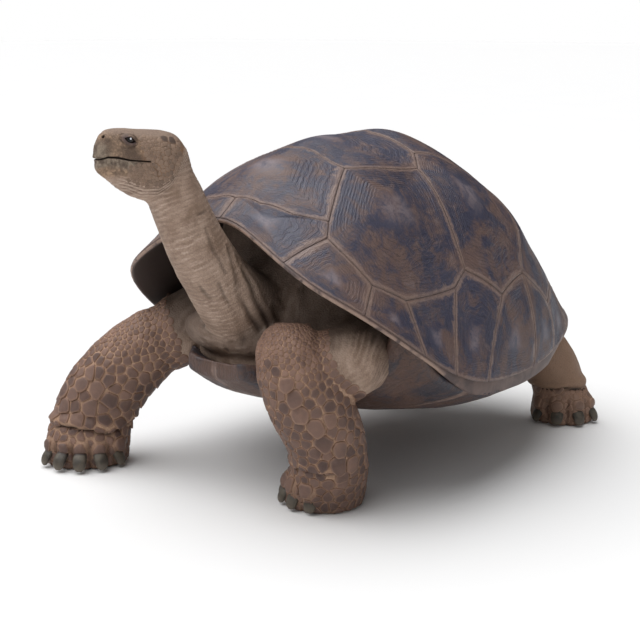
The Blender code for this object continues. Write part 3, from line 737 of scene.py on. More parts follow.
NECK_HALF = (0.072, 0.088, 0.079, 0.067, 0.061, 0.056, 0.052, 0.045)
CHEST_PLACE = (-0.025, -0.300, 0.350)          # the slack skin that spans the root of the neck
CHEST_HALF = (0.140, 0.066, 0.052)
NECK_DEPTH = (0.072, 0.088, 0.074, 0.064, 0.060, 0.056, 0.054, 0.047)


def to_head(points):
    """Points of the body in the head's own axes: X to its left, Y back from the beak."""
    return (points - HEAD_TIP) @ HEAD_TURN


def from_head(points):
    return points @ HEAD_TURN.T + HEAD_TIP


def closed_rows(last):
    """Row shares of a loft with both ends drawn in to a point, and how far each is drawn."""
    shares = np.concatenate(([0, 0, 0], np.linspace(0, 1, last)[1:-1], [1, 1, 1]))
    drawn = np.concatenate(([0, 0.45, 0.85], np.ones(last - 2), [0.85, 0.45, 0]))
    return shares, drawn


def head_place(turn, row):
    """The smooth form of the skull and jaw: upright sections, squarer above than below."""
    shares, drawn = closed_rows(64)
    back = shares[row] * HEAD_STATIONS[-1]
    share = np.interp(back, HEAD_STATIONS, np.linspace(0, 1, len(HEAD_STATIONS)))
    top, bottom, half, widest = (smooth_value(values, share)
                                 for values in (HEAD_TOP, HEAD_BOTTOM, HEAD_HALF, HEAD_WIDEST))
    out, up = np.cos(math.tau * turn), np.sin(math.tau * turn)
    rise = np.where(up > 0, top - widest, widest - bottom) * drawn[row]
    x = half * drawn[row] * np.sign(out) * np.abs(out) ** 0.85
    z = widest + rise * np.sign(up) * np.abs(up) ** np.where(up > 0, 0.85, 1.1)
    return BODY + from_head(np.stack((x, back, z), -1)), {}


def neck_place(turn, row):
    """The neck's smooth form: rings square to its centre line."""
    shares, drawn = closed_rows(50)
    share = shares[row]
    centre = smooth_value(NECK_LINE, share)
    onward = smooth_value(NECK_LINE, np.minimum(share + 0.02, 1))
    along = onward - smooth_value(NECK_LINE, np.maximum(share - 0.02, 0))
    along /= np.linalg.norm(along, axis=1, keepdims=True)
    fore = np.cross(along, np.array((1.0, 0, 0)))
    fore /= np.linalg.norm(fore, axis=1, keepdims=True)
    side = np.cross(fore, along)
    half = smooth_value(NECK_HALF, share) * drawn[row]
    depth = smooth_value(NECK_DEPTH, share) * drawn[row]
    points = (centre + side * (half * np.cos(math.tau * turn))[:, None]
              + fore * (depth * np.sin(math.tau * turn))[:, None])
    return BODY + points, {}


FLESH = ["trunk", "tail"] + [f"{side}_{leg}_{length}" for side in ("left", "right")
                             for leg in ("foreleg", "hindleg") for length in ("upper", "lower", "foot")]
head_form = wrapped_grid(96, 67, head_place)
neck_form = wrapped_grid(72, 53, neck_place)
head_tree = BVHTree.FromBMesh(head_form)
chest_form = bmesh.new()
bmesh.ops.create_uvsphere(chest_form, u_segments=48, v_segments=24, radius=1.0)
chest_place = Matrix.Translation(Vector(BODY) + Vector(CHEST_PLACE))
bmesh.ops.transform(chest_form, verts=chest_form.verts,
                    matrix=chest_place @ Matrix.Diagonal((*CHEST_HALF, 1.0)))
skin = voxel_copy("skin", FLESH, SKIN_VOXEL, SKIN_SWELL, 12, [head_form, neck_form, chest_form])


def step_up(value, low, high):
    """0 below one value, 1 above another, and smooth between them."""
    share = np.clip((value - low) / (high - low), 0, 1)
    return share * share * (3 - 2 * share)


def step_down(value, low, high):
    """1 below one value, 0 above another."""
    return 1 - step_up(value, low, high)


def seen_from_above(points):
    """Where points lie over the shell's plan: 0 at its axis, 1 at its rim."""
    out = np.hypot(points[:, 0], points[:, 1] - APEX_Y)
    angle = np.arctan2(points[:, 0], APEX_Y - points[:, 1])
    return out / round_value(RIM_REACH, angle)


# What the shell hides for good is kept closed but coarse.
points, normals = read_points(skin.data)
plan = seen_from_above(points)
above = (points[:, 2] > 0.345) & (plan < 0.84) & (points[:, 1] > -0.27)
below = (points[:, 2] < 0.24) & (normals[:, 2] < -0.45) & (np.abs(points[:, 0]) < 0.24) \
    & (points[:, 1] > -0.25) & (points[:, 1] < 0.40) & (points[:, 2] > 0.11)
hidden = above | below
group = skin.vertex_groups.new(name="hidden")
group.add(np.nonzero(hidden)[0].tolist(), 1.0, "REPLACE")
coarse = skin.modifiers.new("coarse", "DECIMATE")
coarse.vertex_group = "hidden"
coarse.ratio = 1 - 0.93 * hidden.mean()
apply_modifiers(skin)


def refine(piece, chosen):
    """Halve the edges of the faces that a test picks out by their middles."""
    bm = bmesh.new()
    bm.from_mesh(piece.data)
    middles = np.array([face.calc_center_median() for face in bm.faces]) - BODY
    picked = chosen(middles)
    edges = {edge for face, take in zip(bm.faces, picked) if take for edge in face.edges}
    bmesh.ops.subdivide_edges(bm, edges=list(edges), cuts=1, use_grid_fill=True)
    bm.to_mesh(piece.data)
    bm.free()
    piece.data.shade_smooth()


EYE_PLACE = np.array((0.0315, 0.0550, 0.0270))
EYE_RADIUS = 0.0115
NOSTRIL = np.array((0.0128, 0.0108, 0.0266))
MOUTH_LINE = np.array(((-0.020, -0.0185), (0.006, -0.0165), (0.020, -0.0100), (0.036, -0.0088),
                       (0.060, -0.0112), (0.096, -0.0098), (0.104, -0.0120)))


def on_head(points, grow=0.0):
    local = to_head(points)
    return (local[:, 1] < 0.185 + grow) & (local[:, 2] > -0.098 - grow) & (np.abs(local[:, 0]) < 0.075)


def on_throat(points):
    return ((points[:, 1] < -0.335) & (points[:, 2] > 0.25)) | on_head(points, 0.03)


def on_chest(points):
    front = (points[:, 1] < -0.25) & (points[:, 2] > 0.23) & (np.abs(points[:, 0]) < 0.16)
    return on_throat(points) | front


def near_shoulder(points):
    return on_chest(points) | (np.linalg.norm(points - (0.285, -0.235, 0.30), axis=1) < 0.085)


def both_cheeks(local):
    """The head's points folded on to its left side."""
    return np.stack((np.abs(local[:, 0]), local[:, 1], local[:, 2]), -1)


def above_line(local, line, shift=0.0):
    """How far the head's points lie above a line drawn along its side."""
    return local[:, 2] - np.interp(local[:, 1] + shift, *line.T)


def on_face(points):
    """The eyes, nostrils and mouth, which are worked finest."""
    local = to_head(points)
    beside = both_cheeks(local)
    eye = np.linalg.norm(beside - EYE_PLACE - (0.009, 0, 0), axis=1) < 0.019
    nose = np.linalg.norm(beside - NOSTRIL, axis=1) < 0.007
    lips = (np.abs(above_line(local, MOUTH_LINE)) < 0.0045) & (local[:, 1] < 0.105)
    return (eye | nose | lips) & on_head(points)


def on_lips(points):
    local = to_head(points)
    lips = (np.abs(above_line(local, MOUTH_LINE)) < 0.0030) & (local[:, 1] < 0.102)
    return lips & on_head(points)


refine(skin, near_shoulder)
refine(skin, on_head)


def draw_to_form(piece):
    """Draw the head's skin on to its smooth form, and let it go free towards the neck."""
    points, normals = read_points(piece.data)
    local = to_head(points)
    weight = step_down(local[:, 1] - 0.35 * np.minimum(local[:, 2], 0), 0.135, 0.172) \
        * (1 - step_up(-local[:, 2], 0.060, 0.085) * step_up(local[:, 1], 0.07, 0.10))
    weight[~on_head(points, 0.02)] = 0
    for index in np.nonzero(weight > 0.001)[0]:
        spot = head_tree.find_nearest(Vector(points[index] + BODY))[0]
        points[index] += (np.array(spot) - BODY - points[index]) * weight[index]
    write_points(piece.data, points)


NECK_ROOT = (0.0, -0.345, 0.350)        # where the neck leaves the chest
draw_to_form(skin)
points, normals = read_points(skin.data)
tighten(skin, np.where(near_shoulder(points), 1.0, 0.0), 0.5, 4)
points, normals = read_points(skin.data)
from_root = (points - NECK_ROOT) * (0.75, 1.0, 1.0)
root = step_down(np.linalg.norm(from_root, axis=1), 0.055, 0.110)
tighten(skin, root, 0.5, 60)
refine(skin, on_face)
refine(skin, on_lips)
draw_to_form(skin)


def wander(points, scale, seed=0.0):
    """A smooth random number from -1 to 1 at each point."""
    return np.array([noise.noise(spot) for spot in (points * scale + seed).tolist()])


def line_distance(points, line):
    """Each point's distance from a bent line, eased off at the line's two ends."""
    line = np.asarray(line, float)
    best = np.full(len(points), 1.0)
    for start, end in zip(line, line[1:]):
        along = end - start
        share = np.clip(((points - start) @ along) / (along @ along), 0, 1)
        best = np.minimum(best, np.linalg.norm(points - start - along * share[:, None], axis=1))
    return best


def crease(points, line, width, depth):
    """How far a crease along a line goes in, with the skin heaped a little on each side."""
    far = line_distance(points, line)
    return depth * (hill(far, width) - 0.45 * hill(far - 2.3 * width, width))


# Jaw and throat folds on the head, and the slack folds at the root of the neck.
JAW_FOLDS = (
    (((0.046, 0.098, -0.014), (0.051, 0.108, -0.022), (0.051, 0.114, -0.034)), 0.0026, 0.0018),
    (((0.033, 0.036, 0.012), (0.038, 0.050, 0.0105), (0.041, 0.064, 0.013)), 0.0020, 0.0007),
)
JAW_EDGE = np.array(((0.0, -0.055), (0.040, -0.042), (0.060, -0.044), (0.090, -0.052), (0.120, -0.048),
                     (0.136, -0.034), (0.148, -0.014), (0.160, 0.010), (0.175, 0.030)))
JAW_RIDGE = 0.0062           # from one ridge to the next
NECK_FOLDS = (
    (((0.052, -0.402, 0.545), (0.062, -0.392, 0.480), (0.068, -0.365, 0.415), (0.070, -0.330, 0.365)),
     0.0055, 0.0060),
    (((0.060, -0.370, 0.500), (0.074, -0.345, 0.440), (0.080, -0.315, 0.380)), 0.0055, 0.0060),
    (((0.046, -0.430, 0.480), (0.056, -0.405, 0.430), (0.055, -0.375, 0.380), (0.040, -0.345, 0.335)),
     0.005, 0.0034),
    (((0.020, -0.452, 0.500), (0.030, -0.430, 0.430), (0.020, -0.392, 0.370), (0.000, -0.355, 0.325)),
     0.005, 0.0026),
    (((-0.030, -0.440, 0.500), (-0.040, -0.410, 0.430), (-0.060, -0.360, 0.370), (-0.085, -0.320, 0.330)),
     0.006, 0.0040),
    (((-0.060, -0.370, 0.500), (-0.074, -0.345, 0.440), (-0.080, -0.315, 0.380)), 0.0055, 0.0050),
    (((0.040, -0.455, 0.590), (0.052, -0.445, 0.540), (0.060, -0.420, 0.500)), 0.004, 0.0022),
    (((0.090, -0.300, 0.420), (0.110, -0.290, 0.350), (0.105, -0.300, 0.300)), 0.007, 0.0070),
    (((0.110, -0.250, 0.450), (0.135, -0.250, 0.380), (0.150, -0.265, 0.330)), 0.007, 0.0060),
    (((-0.100, -0.290, 0.420), (-0.120, -0.280, 0.350), (-0.140, -0.290, 0.290)), 0.007, 0.0070),
    (((0.030, -0.488, 0.655), (0.042, -0.470, 0.640), (0.040, -0.445, 0.650)), 0.003, 0.0022),
    (((0.020, -0.500, 0.640), (0.040, -0.470, 0.618), (0.040, -0.440, 0.625)), 0.003, 0.0018),
)

points, normals = read_points(skin.data)
local = to_head(points)
cheek = both_cheeks(local)
headward = (step_down(local[:, 1] - 0.25 * np.minimum(local[:, 2], 0), 0.155, 0.200)
            * step_down(-local[:, 2] - 0.30 * local[:, 1] + 0.030, 0.085, 0.112) * on_head(points, 0.02))
push = np.zeros(len(points))
# painted_shade gathers the shade painted into the skin's colour: in the mouth's groove, the nostrils, the
# eye openings and the folds and creases.
painted_shade = np.zeros(len(points))
pale = np.zeros(len(points))
over_jaw = above_line(local, JAW_EDGE, wander(points, 40.0, 6.0) * 0.004)
face = headward * step_up(over_jaw, -0.007, 0.004)

# The mouth: a narrow groove under the sheath of the upper beak, which overhangs the lower.
over_lip = above_line(local, MOUTH_LINE)
ahead = headward * step_down(local[:, 1], 0.094, 0.106)
ajar = 0.0012 + 0.0008 * hill(local[:, 1] - 0.036, 0.022)
groove = hill(over_lip, ajar, 4) * ahead
push -= 0.0045 * groove
painted_shade += 1.6 * groove
push += 0.0011 * hill(over_lip - 0.0045, 0.0035) * ahead
push -= 0.0012 * hill(over_lip + 0.0060, 0.0050) * ahead
sheath = headward * step_down(local[:, 1] + 0.18 * over_lip, 0.012, 0.034) \
    * step_down(local[:, 2], 0.006, 0.022) * step_up(over_lip, -0.001, 0.001)
low_sheath = headward * step_up(-over_lip, 0.0005, 0.002) * step_down(-over_lip, 0.012, 0.024) \
    * step_down(local[:, 1], 0.060, 0.105)
push += 0.0006 * sheath + 0.0006 * low_sheath
push += 0.0003 * sheath * np.sin(local[:, 0] * 1500 + local[:, 1] * 1500)

# The nostrils, the ear's round scale, and the folds of jaw and throat.
nose = np.linalg.norm(cheek - NOSTRIL, axis=1)
push -= 0.0048 * hill(nose, 0.0030, 4) * headward
push += 0.0008 * hill(nose - 0.0042, 0.0014) * headward
painted_shade += 1.5 * hill(nose, 0.0034, 4) * headward
ear = np.sqrt(((cheek[:, 1] - 0.126) / 0.0115) ** 2 + ((cheek[:, 2] - 0.0045) / 0.016) ** 2)
push -= 0.0009 * hill(ear - 1, 0.16) * headward
painted_shade += 0.15 * hill(ear - 1, 0.16) * headward
for line, width, depth in JAW_FOLDS:
    fold = crease(cheek, line, width, depth) * headward
    push -= fold
    painted_shade += np.clip(fold / depth, 0, 1) * 0.25
# Ridges of slack skin that follow the jaw's edge and swing up behind its corner.
ridge = np.abs(np.cos(over_jaw * math.pi / JAW_RIDGE + wander(points, 30.0, 17.0) * 0.9))
hung = headward * step_up(over_jaw, -0.032, -0.020) * step_down(over_jaw, -0.004, 0.003) \
    * step_up(local[:, 1], 0.03, 0.06)
push += 0.0016 * ridge * hung
pale = np.maximum(pale, 1.3 * ridge ** 4 * hung)
painted_shade += 0.45 * (1 - ridge) ** 2 * hung
for line, width, depth in NECK_FOLDS:
    swayed = points + (wander(points, 22.0, 3.0) * 0.006)[:, None]
    fold = crease(swayed, line, width, depth) * (1 - headward)
    push -= 0.7 * fold
    painted_shade += np.clip(fold / depth, 0, 1) * 0.55

# Rings round the neck, from the nape to the chest.
NECK_RING = 0.0098           # from one ring to the next
neck_samples = smooth_value(NECK_LINE + ((-0.047, -0.480, 0.745),), np.linspace(0, 1, 180))
neck_lengths = np.concatenate(([0], np.cumsum(np.linalg.norm(np.diff(neck_samples, axis=0), axis=1))))
ringed = near_shoulder(points)
places = np.argmin(np.linalg.norm(points[ringed][:, None] - neck_samples[None], axis=2), axis=1)
neck_way = np.zeros(len(points))
neck_far = np.ones(len(points))
neck_way[ringed] = neck_lengths[places]
neck_far[ringed] = np.linalg.norm(points[ringed] - neck_samples[places], axis=1)
loose = ringed * step_down(neck_far, 0.10, 0.16) * (1 - face)
swing = wander(points, 9.0, 7.0) * 2.6 + wander(points, 34.0, 1.0) * 1.5
ring = np.abs(np.sin(neck_way * math.pi / NECK_RING + swing))
ring_line = (1 - ring) ** 2.2
push -= 0.0011 * ring_line * loose * (0.65 + 0.5 * wander(points, 15.0, 11.0))
painted_shade += 0.16 * ring_line * loose
pale = np.maximum(pale, 1.2 * ring ** 12 * loose * np.clip(0.5 + 1.1 * wander(points, 26.0, 14.0), 0, 1))

# Wrinkles across the pale swell of the upper arms and in the leg pits.
PLEAT_SPACING = 0.013
slack = step_up(points[:, 2], 0.20, 0.26) * (1 - loose) * (1 - headward) * (points[:, 2] < 0.47)
across_pit = points[:, 0] * 0.25 + points[:, 1] * 0.9 - points[:, 2] * 0.8
pleat = np.abs(np.sin(across_pit * math.pi / PLEAT_SPACING + wander(points, 16.0, 5.0) * 4.2))
uneven = slack * np.clip(0.55 + 0.9 * wander(points, 20.0, 31.0), 0.1, 1.0)
push -= 0.0020 * (1 - pleat) ** 2 * uneven
painted_shade += 0.24 * (1 - pleat) ** 2 * uneven
pale = np.maximum(pale, 0.8 * pleat ** 10 * uneven)

# The feet: ankle creases, a pad over each claw, and a cleft between each two toes.
# Each leg: its sole's middle and half width, the way that its toes point, their number, the
# middle of the shin and the height of the ankle's crease.
LEGS = (
    ("left_foreleg", (0.148, -0.226), 0.083, 233, 5, (0.190, -0.288), 0.101),
    ("right_foreleg", (-0.439, -0.366), 0.094, 310, 5, (-0.401, -0.330), 0.092),
    ("left_hindleg", (0.224, 0.622), 0.079, 310, 4, (0.208, 0.590), 0.092),
    ("right_hindleg", (-0.245, 0.503), 0.079, 230, 4, (-0.238, 0.480), 0.092),
)
CLAW_SPREAD = 58
TOE_WIDTH = {5: 12.5, 4: 16.5}          # half the turn of one toe, in degrees
ankle = np.zeros(len(points))
for _, middle, _, toes, count, _, level in LEGS:
    here = np.hypot(points[:, 0] - middle[0], points[:, 1] - middle[1])
    foot = (here < 0.20) & (points[:, 2] < 0.20)
    turn = np.degrees(np.arctan2(points[:, 1] - middle[1], points[:, 0] - middle[0])) - toes
    turn = (turn + 180) % 360 - 180
    front = foot * step_down(np.abs(turn), 75, 115)
    away = points[:, 2] - level - wander(points, 14.0, level * 90) * 0.012 \
        - wander(points, 45.0, level * 50) * 0.003
    fold = hill(away, 0.0040) * front
    push += 0.0060 * hill(away - 0.014, 0.010) * front - 0.0060 * fold
    painted_shade += 1.3 * fold
    ankle = np.maximum(ankle, fold)
    for number in range(count):
        toe = CLAW_SPREAD * (2 * number / (count - 1) - 1)
        beside = ((turn - toe) / TOE_WIDTH[count]) ** 4
        push += 0.0120 * (np.exp(-beside - ((points[:, 2] - 0.052) / 0.020) ** 2) * foot)
        if number:
            cleft = toe - CLAW_SPREAD / (count - 1)
            narrow = hill(turn - cleft, 2.6) * step_down(points[:, 2], 0.048, 0.070) * foot
            push -= 0.0050 * narrow
            painted_shade += 0.45 * narrow

lift = wander(points, 30.0, 2.0) * 0.0007 * (1 - headward) + wander(points, 75.0, 9.0) * 0.00030
points = points + normals * (push + lift)[:, None]

# The eyelids: skin stretched over a ball a little larger than the eye, open in an almond.
LID_RADIUS = 0.0134
LID_TILT = math.radians(14)
open_eye = np.zeros(len(points))
lid = np.zeros(len(points))
local = to_head(points)
for side in (1, -1):
    offset = (local - EYE_PLACE * (side, 1, 1)) * (side, 1, 1)
    near = headward * (np.linalg.norm(offset, axis=1) < 0.040) * (offset[:, 0] > -0.008)
    along = offset[:, 1] * math.cos(LID_TILT) - offset[:, 2] * math.sin(LID_TILT)
    across = offset[:, 1] * math.sin(LID_TILT) + offset[:, 2] * math.cos(LID_TILT) + 0.0008
    reach = offset[:, 1] ** 2 + offset[:, 2] ** 2
    ball = np.sqrt(np.clip(LID_RADIUS ** 2 - reach, 0, None))
    blend = 0.0035
    ball = np.where(reach < LID_RADIUS ** 2, ball, -0.05)
    mixed = blend * np.logaddexp(offset[:, 0] / blend, ball / blend)
    gape = np.where(across > 0, 0.0058, 0.0050)
    almond = np.abs(across) / (gape * np.clip(1 - (along / 0.0112) ** 2, 0.02, 1))
    inside = step_down(almond, 0.86, 1.04)
    rim = hill(almond - 1.35, 0.28) * (np.abs(along) < 0.0125)
    socket = np.sqrt(np.clip(0.0088 ** 2 - reach, 0, None))
    oval = np.hypot(along / 0.0170, across / 0.0102)
    fold = hill(oval - 1, 0.10)
    out = mixed + 0.0006 * rim - 0.0012 * fold
    out = out * (1 - inside) + socket * inside
    weight = near * step_down(np.sqrt(reach), 0.020, 0.027)
    local[:, 0] += side * (out - offset[:, 0]) * weight
    open_eye = np.maximum(open_eye, inside * weight)
    lid = np.maximum(lid, step_down(oval + 0.25 * (across > 0) * (along > -0.006), 0.55, 1.15) * weight)
    painted_shade += (0.5 * fold + 0.9 * inside) * weight
moved = on_head(points)
points[moved] = from_head(local[moved])

# The soles stand level on the floor: nothing reaches below it.
points[:, 2] = np.maximum(points[:, 2], 0.0)
write_points(skin.data, points)

hind = step_up(points[:, 1], 0.30, 0.36)
FOREARMS = (
    (((0.148, -0.226, 0.0), 0.083), ((0.160, -0.232, 0.045), 0.081), ((0.187, -0.252, 0.110), 0.077),
     ((0.193, -0.283, 0.175), 0.079), ((0.185, -0.309, 0.230), 0.082), ((0.173, -0.327, 0.280), 0.080),
     ((0.157, -0.337, 0.335), 0.074), ((0.152, -0.334, 0.378), 0.056)),
    (((-0.439, -0.366, 0.0), 0.094), ((-0.436, -0.363, 0.050), 0.093), ((-0.424, -0.352, 0.115), 0.088),
     ((-0.401, -0.330, 0.175), 0.086), ((-0.357, -0.291, 0.238), 0.083), ((-0.312, -0.251, 0.286), 0.073),
     ((-0.288, -0.229, 0.306), 0.056)),
)
forearm = np.zeros(len(points))
for stations in FOREARMS:
    line = smooth_value([station[0] for station in stations], np.linspace(0, 1, 60))
    widths = smooth_value([station[1] for station in stations], np.linspace(0, 1, 60))
    near = np.nonzero(np.linalg.norm(points - line[30], axis=1) < 0.32)[0]
    spans = np.linalg.norm(points[near][:, None] - line[None], axis=2) / widths[None]
    forearm[near] = np.maximum(forearm[near], step_down(spans.min(1), 1.06, 1.20))
forearm *= (1 - headward) * (1 - loose)
plan = seen_from_above(points)
# Painted shade: the hide darkened under the shell's front rim, off the forearms, less by the neck and
# over the arm's swell.
pit_shade = step_down(plan, 0.93, 1.06) * step_up(points[:, 2], 0.25, 0.36) * (1 - forearm) \
    * step_down(points[:, 1], 0.0, 0.1)
pit_shade *= 1 - 0.75 * step_up(0.085 - neck_far, 0.0, 0.010) * step_up(-points[:, 1], 0.30, 0.36)
swell = hill(np.linalg.norm(points - (0.285, -0.285, 0.330), axis=1), 0.062, 4)
pit_shade *= 1 - swell
FIELDS = {
    "pit_shade": pit_shade,
    "neck_way": neck_way,
    "loose": loose,
    "crease": np.clip(painted_shade, 0, 1.3),
    "head": face,
    "warm": step_up(local[:, 1] - 0.4 * local[:, 2], 0.050, 0.120) * face,
    "pale": pale,
    "limb": forearm,
    "low": step_down(points[:, 2], 0.035, 0.110),
    "hind": hind,
    "lid": lid,
    "sheath": np.clip(sheath + low_sheath, 0, 1),
    "crown": headward * step_up(local[:, 2], 0.026, 0.040) * (1 - lid),
}
for name, values in FIELDS.items():
    write_field(skin.data, name, values)

NECK_TAN = srgb(174, 150, 133)
NECK_BROWN = srgb(138, 114, 97)
CHEEK_BROWN = srgb(172, 144, 119)
CHEEK_DARK = srgb(92, 74, 62)
CROWN_TAN = srgb(146, 126, 111)
LIMB_NET = srgb(194, 160, 134)
HIND_BROWN = srgb(142, 114, 94)
FOOT_BROWN = srgb(110, 84, 71)
# FOLD_SHADE is the colour of painted shade in folds, pits, furrows and at the claws' roots.
FOLD_SHADE = srgb(44, 33, 28)
RING_PALE = srgb(206, 184, 168)
LID_GREY = srgb(84, 70, 74)
BEAK_GREY = srgb(144, 129, 113)


def new_group(name, inputs, outputs):
    """An empty shader node group with its named sockets."""
    group = bpy.data.node_groups.new(name, "ShaderNodeTree")
    for label, kind, value in inputs:
        socket = group.interface.new_socket(label, in_out="INPUT", socket_type=kind)
        if value is not None:
            socket.default_value = value
    for label, kind in outputs:
        group.interface.new_socket(label, in_out="OUTPUT", socket_type=kind)
    return group, group.nodes.new("NodeGroupInput").outputs, group.nodes.new("NodeGroupOutput").inputs


# Hide's own grain: small flat cells with fine furrows between, over a soft mottle.
hide_grain, given, result = new_group(
    "hide_grain", (("Where", "NodeSocketVector", None), ("Cells", "NodeSocketFloat", 200.0)),
    (("Mottle", "NodeSocketFloat"), ("Furrow", "NodeSocketFloat"), ("Height", "NodeSocketFloat")))
soft = cloud(hide_grain, given["Where"], 24.0, 5.0, 0.4, 0.6)
bent = put(hide_grain, "ShaderNodeTexNoise", None, Vector=given["Where"], Scale=60.0, Detail=2.0)
shifted = put(hide_grain, "ShaderNodeVectorMath", {"operation": "MULTIPLY_ADD"},
              i0=bent.outputs["Color"], i1=(0.010, 0.010, 0.010), i2=given["Where"]).outputs[0]
cells = put(hide_grain, "ShaderNodeTexVoronoi", {"feature": "DISTANCE_TO_EDGE"}, Vector=shifted,
            Scale=given["Cells"]).outputs["Distance"]
furrow = ramp(hide_grain, cells, 0.02, 0.16, 1.0, 0.0)
fine = cloud(hide_grain, given["Where"], 420.0, 3.0)
rise = maths(hide_grain, "SUBTRACT", maths(hide_grain, "MULTIPLY", fine, 0.4), furrow)
hide_grain.links.new(soft, result["Mottle"])
hide_grain.links.new(furrow, result["Furrow"])
hide_grain.links.new(rise, result["Height"])


skin_material, tree, shader, where = new_material("skin")
grain = put(tree, "ShaderNodeGroup", {"node_tree": hide_grain}, Where=where, Cells=190.0).outputs
mottle = grain["Mottle"]
neck_colour = blend_colour(tree, ramp(tree, mottle, 0.34, 0.66), NECK_BROWN, NECK_TAN)
limb_colour = blend_colour(tree, ramp(tree, mottle, 0.3, 0.7), srgb(160, 127, 104), LIMB_NET)
cheek_colour = blend_colour(tree, ramp(tree, mottle, 0.38, 0.62), srgb(102, 83, 69), CHEEK_BROWN)
patches = ramp(tree, cloud(tree, where, 58.0, 4.0, 0.9), 0.45, 0.60)
cheek_colour = tint(tree, cheek_colour, CHEEK_DARK, patches, 0.42)
freckle = ramp(tree, cloud(tree, where, 170.0, 3.0, 0.6), 0.40, 0.56)
cheek_colour = tint(tree, cheek_colour, CHEEK_DARK, freckle, 0.42)
rusty = ramp(tree, cloud(tree, where, 38.0, 3.0, 0.8), 0.40, 0.62)
rusty = maths(tree, "MULTIPLY", rusty, field(tree, "warm"))
cheek_colour = tint(tree, cheek_colour, srgb(160, 122, 92), rusty, 0.50)
crown_colour = blend_colour(tree, ramp(tree, mottle, 0.3, 0.7), srgb(134, 112, 98), CROWN_TAN)
colour = blend_colour(tree, field(tree, "limb"), neck_colour, limb_colour)
colour = tint(tree, colour, HIND_BROWN, field(tree, "hind"))
colour = tint(tree, colour, FOOT_BROWN, field(tree, "low"), 0.60)
colour = tint(tree, colour, cheek_colour, field(tree, "head"))
colour = tint(tree, colour, crown_colour, field(tree, "crown"))
beak_mottle = ramp(tree, cloud(tree, where, 90.0, 3.0), 0.35, 0.65)
horny = blend_colour(tree, beak_mottle, srgb(96, 82, 71), BEAK_GREY)
colour = tint(tree, colour, horny, field(tree, "sheath"))
colour = tint(tree, colour, LID_GREY, field(tree, "lid"), 0.75)
colour = tint(tree, colour, RING_PALE, field(tree, "pale"), 0.50)
# Painted shade in the fine furrows of the hide's grain.
furrow_shade = maths(tree, "MULTIPLY", grain["Furrow"], 0.14)
colour = tint(tree, colour, FOLD_SHADE, furrow_shade)
FINE_RING = 0.0048          # from one painted ring of the neck to the next
sway = maths(tree, "MULTIPLY", cloud(tree, where, 30.0, 3.0), 0.012)
way = maths(tree, "ADD", field(tree, "neck_way"), sway)
fine_ring = maths(tree, "SINE", maths(tree, "MULTIPLY", way, math.tau / FINE_RING))
fine_ring = ramp(tree, fine_ring, 0.2, 0.95)
fine_ring = maths(tree, "MULTIPLY", fine_ring, maths(tree, "MULTIPLY", field(tree, "loose"), 0.35))
colour = tint(tree, colour, NECK_BROWN, fine_ring)
# Painted shade under the shell's rim.
colour = tint(tree, colour, FOLD_SHADE, field(tree, "pit_shade"), 0.62)
# Painted shade in the skin's grooves, folds and creases, carried by the crease field.
colour = tint(tree, colour, FOLD_SHADE, field(tree, "crease"), 0.85)
shader.inputs["Specular IOR Level"].default_value = 0.35
height = maths(tree, "SUBTRACT", grain["Height"], maths(tree, "MULTIPLY", fine_ring, 1.5))
finish_material(tree, shader, colour, ramp(tree, mottle, 0.3, 0.7, 0.58, 0.76), height, 0.55, 0.0012)
skin.data.materials.clear()
skin.data.materials.append(skin_material)
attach(skin, "root")
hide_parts("head", "lower_jaw", "neck", *FLESH)


# ---- scales -------------------------------------------------------------------------
# Horny plates grown from the hide: pebbles at the elbows and heels, broad plates down the
# shins and over the toes, and a few thick shingles along the outer edges of the forelegs.
skin_mesh = bmesh.new()
skin_mesh.from_mesh(skin.data)
skin_tree = BVHTree.FromBMesh(skin_mesh)
skin_mesh.free()

SHINGLE_LAP = 0.22          # how much further down a shingle reaches than its own room
SCALE_PATCH = 0.0012        # the share of the map's width that a scale's radius takes
ROOT_DEPTH = 0.0008         # how deep a scale is rooted in the skin


def throw_sites(points, radii, fixed, spacing, seed):
    """Spread sites over a surface so that each keeps the room that its radius needs."""
    order = np.random.default_rng(seed).permutation(len(points))
    sites = [place for place, _ in fixed]
    sizes = [size for _, size in fixed]
    kept = np.array(sites + [(9.0, 9.0, 9.0)] * len(points))
    room = np.array(sizes + [0.0] * len(points))
    count = len(sites)
    for index in order:
        gaps = np.linalg.norm(kept[:count] - points[index], axis=1) if count else np.array((1.0,))
        needs = (room[:count] + radii[index]) * spacing if count else np.array((0.0,))
        if (gaps > needs).all():
            kept[count] = points[index]
            room[count] = radii[index]
            count += 1
    return kept[:count], room[:count]


def clip_outline(outline, direction, distance):
    """Cut a convex outline back to one side of a line."""
    kept = []
    for (ax, ay), (bx, by) in zip(outline, outline[1:] + outline[:1]):
        here = ax * direction[0] + ay * direction[1] - distance
        there = bx * direction[0] + by * direction[1] - distance
        if here <= 0:
            kept.append((ax, ay))
        if (here < 0) != (there < 0):
            share = here / (here - there)
            kept.append((ax + (bx - ax) * share, ay + (by - ay) * share))
    return kept


def rounded_outline(outline):
    """Cut every corner of an outline once."""
    return [(a[0] + (b[0] - a[0]) * share, a[1] + (b[1] - a[1]) * share)
            for a, b in zip(outline, outline[1:] + outline[:1]) for share in (0.18, 0.82)]


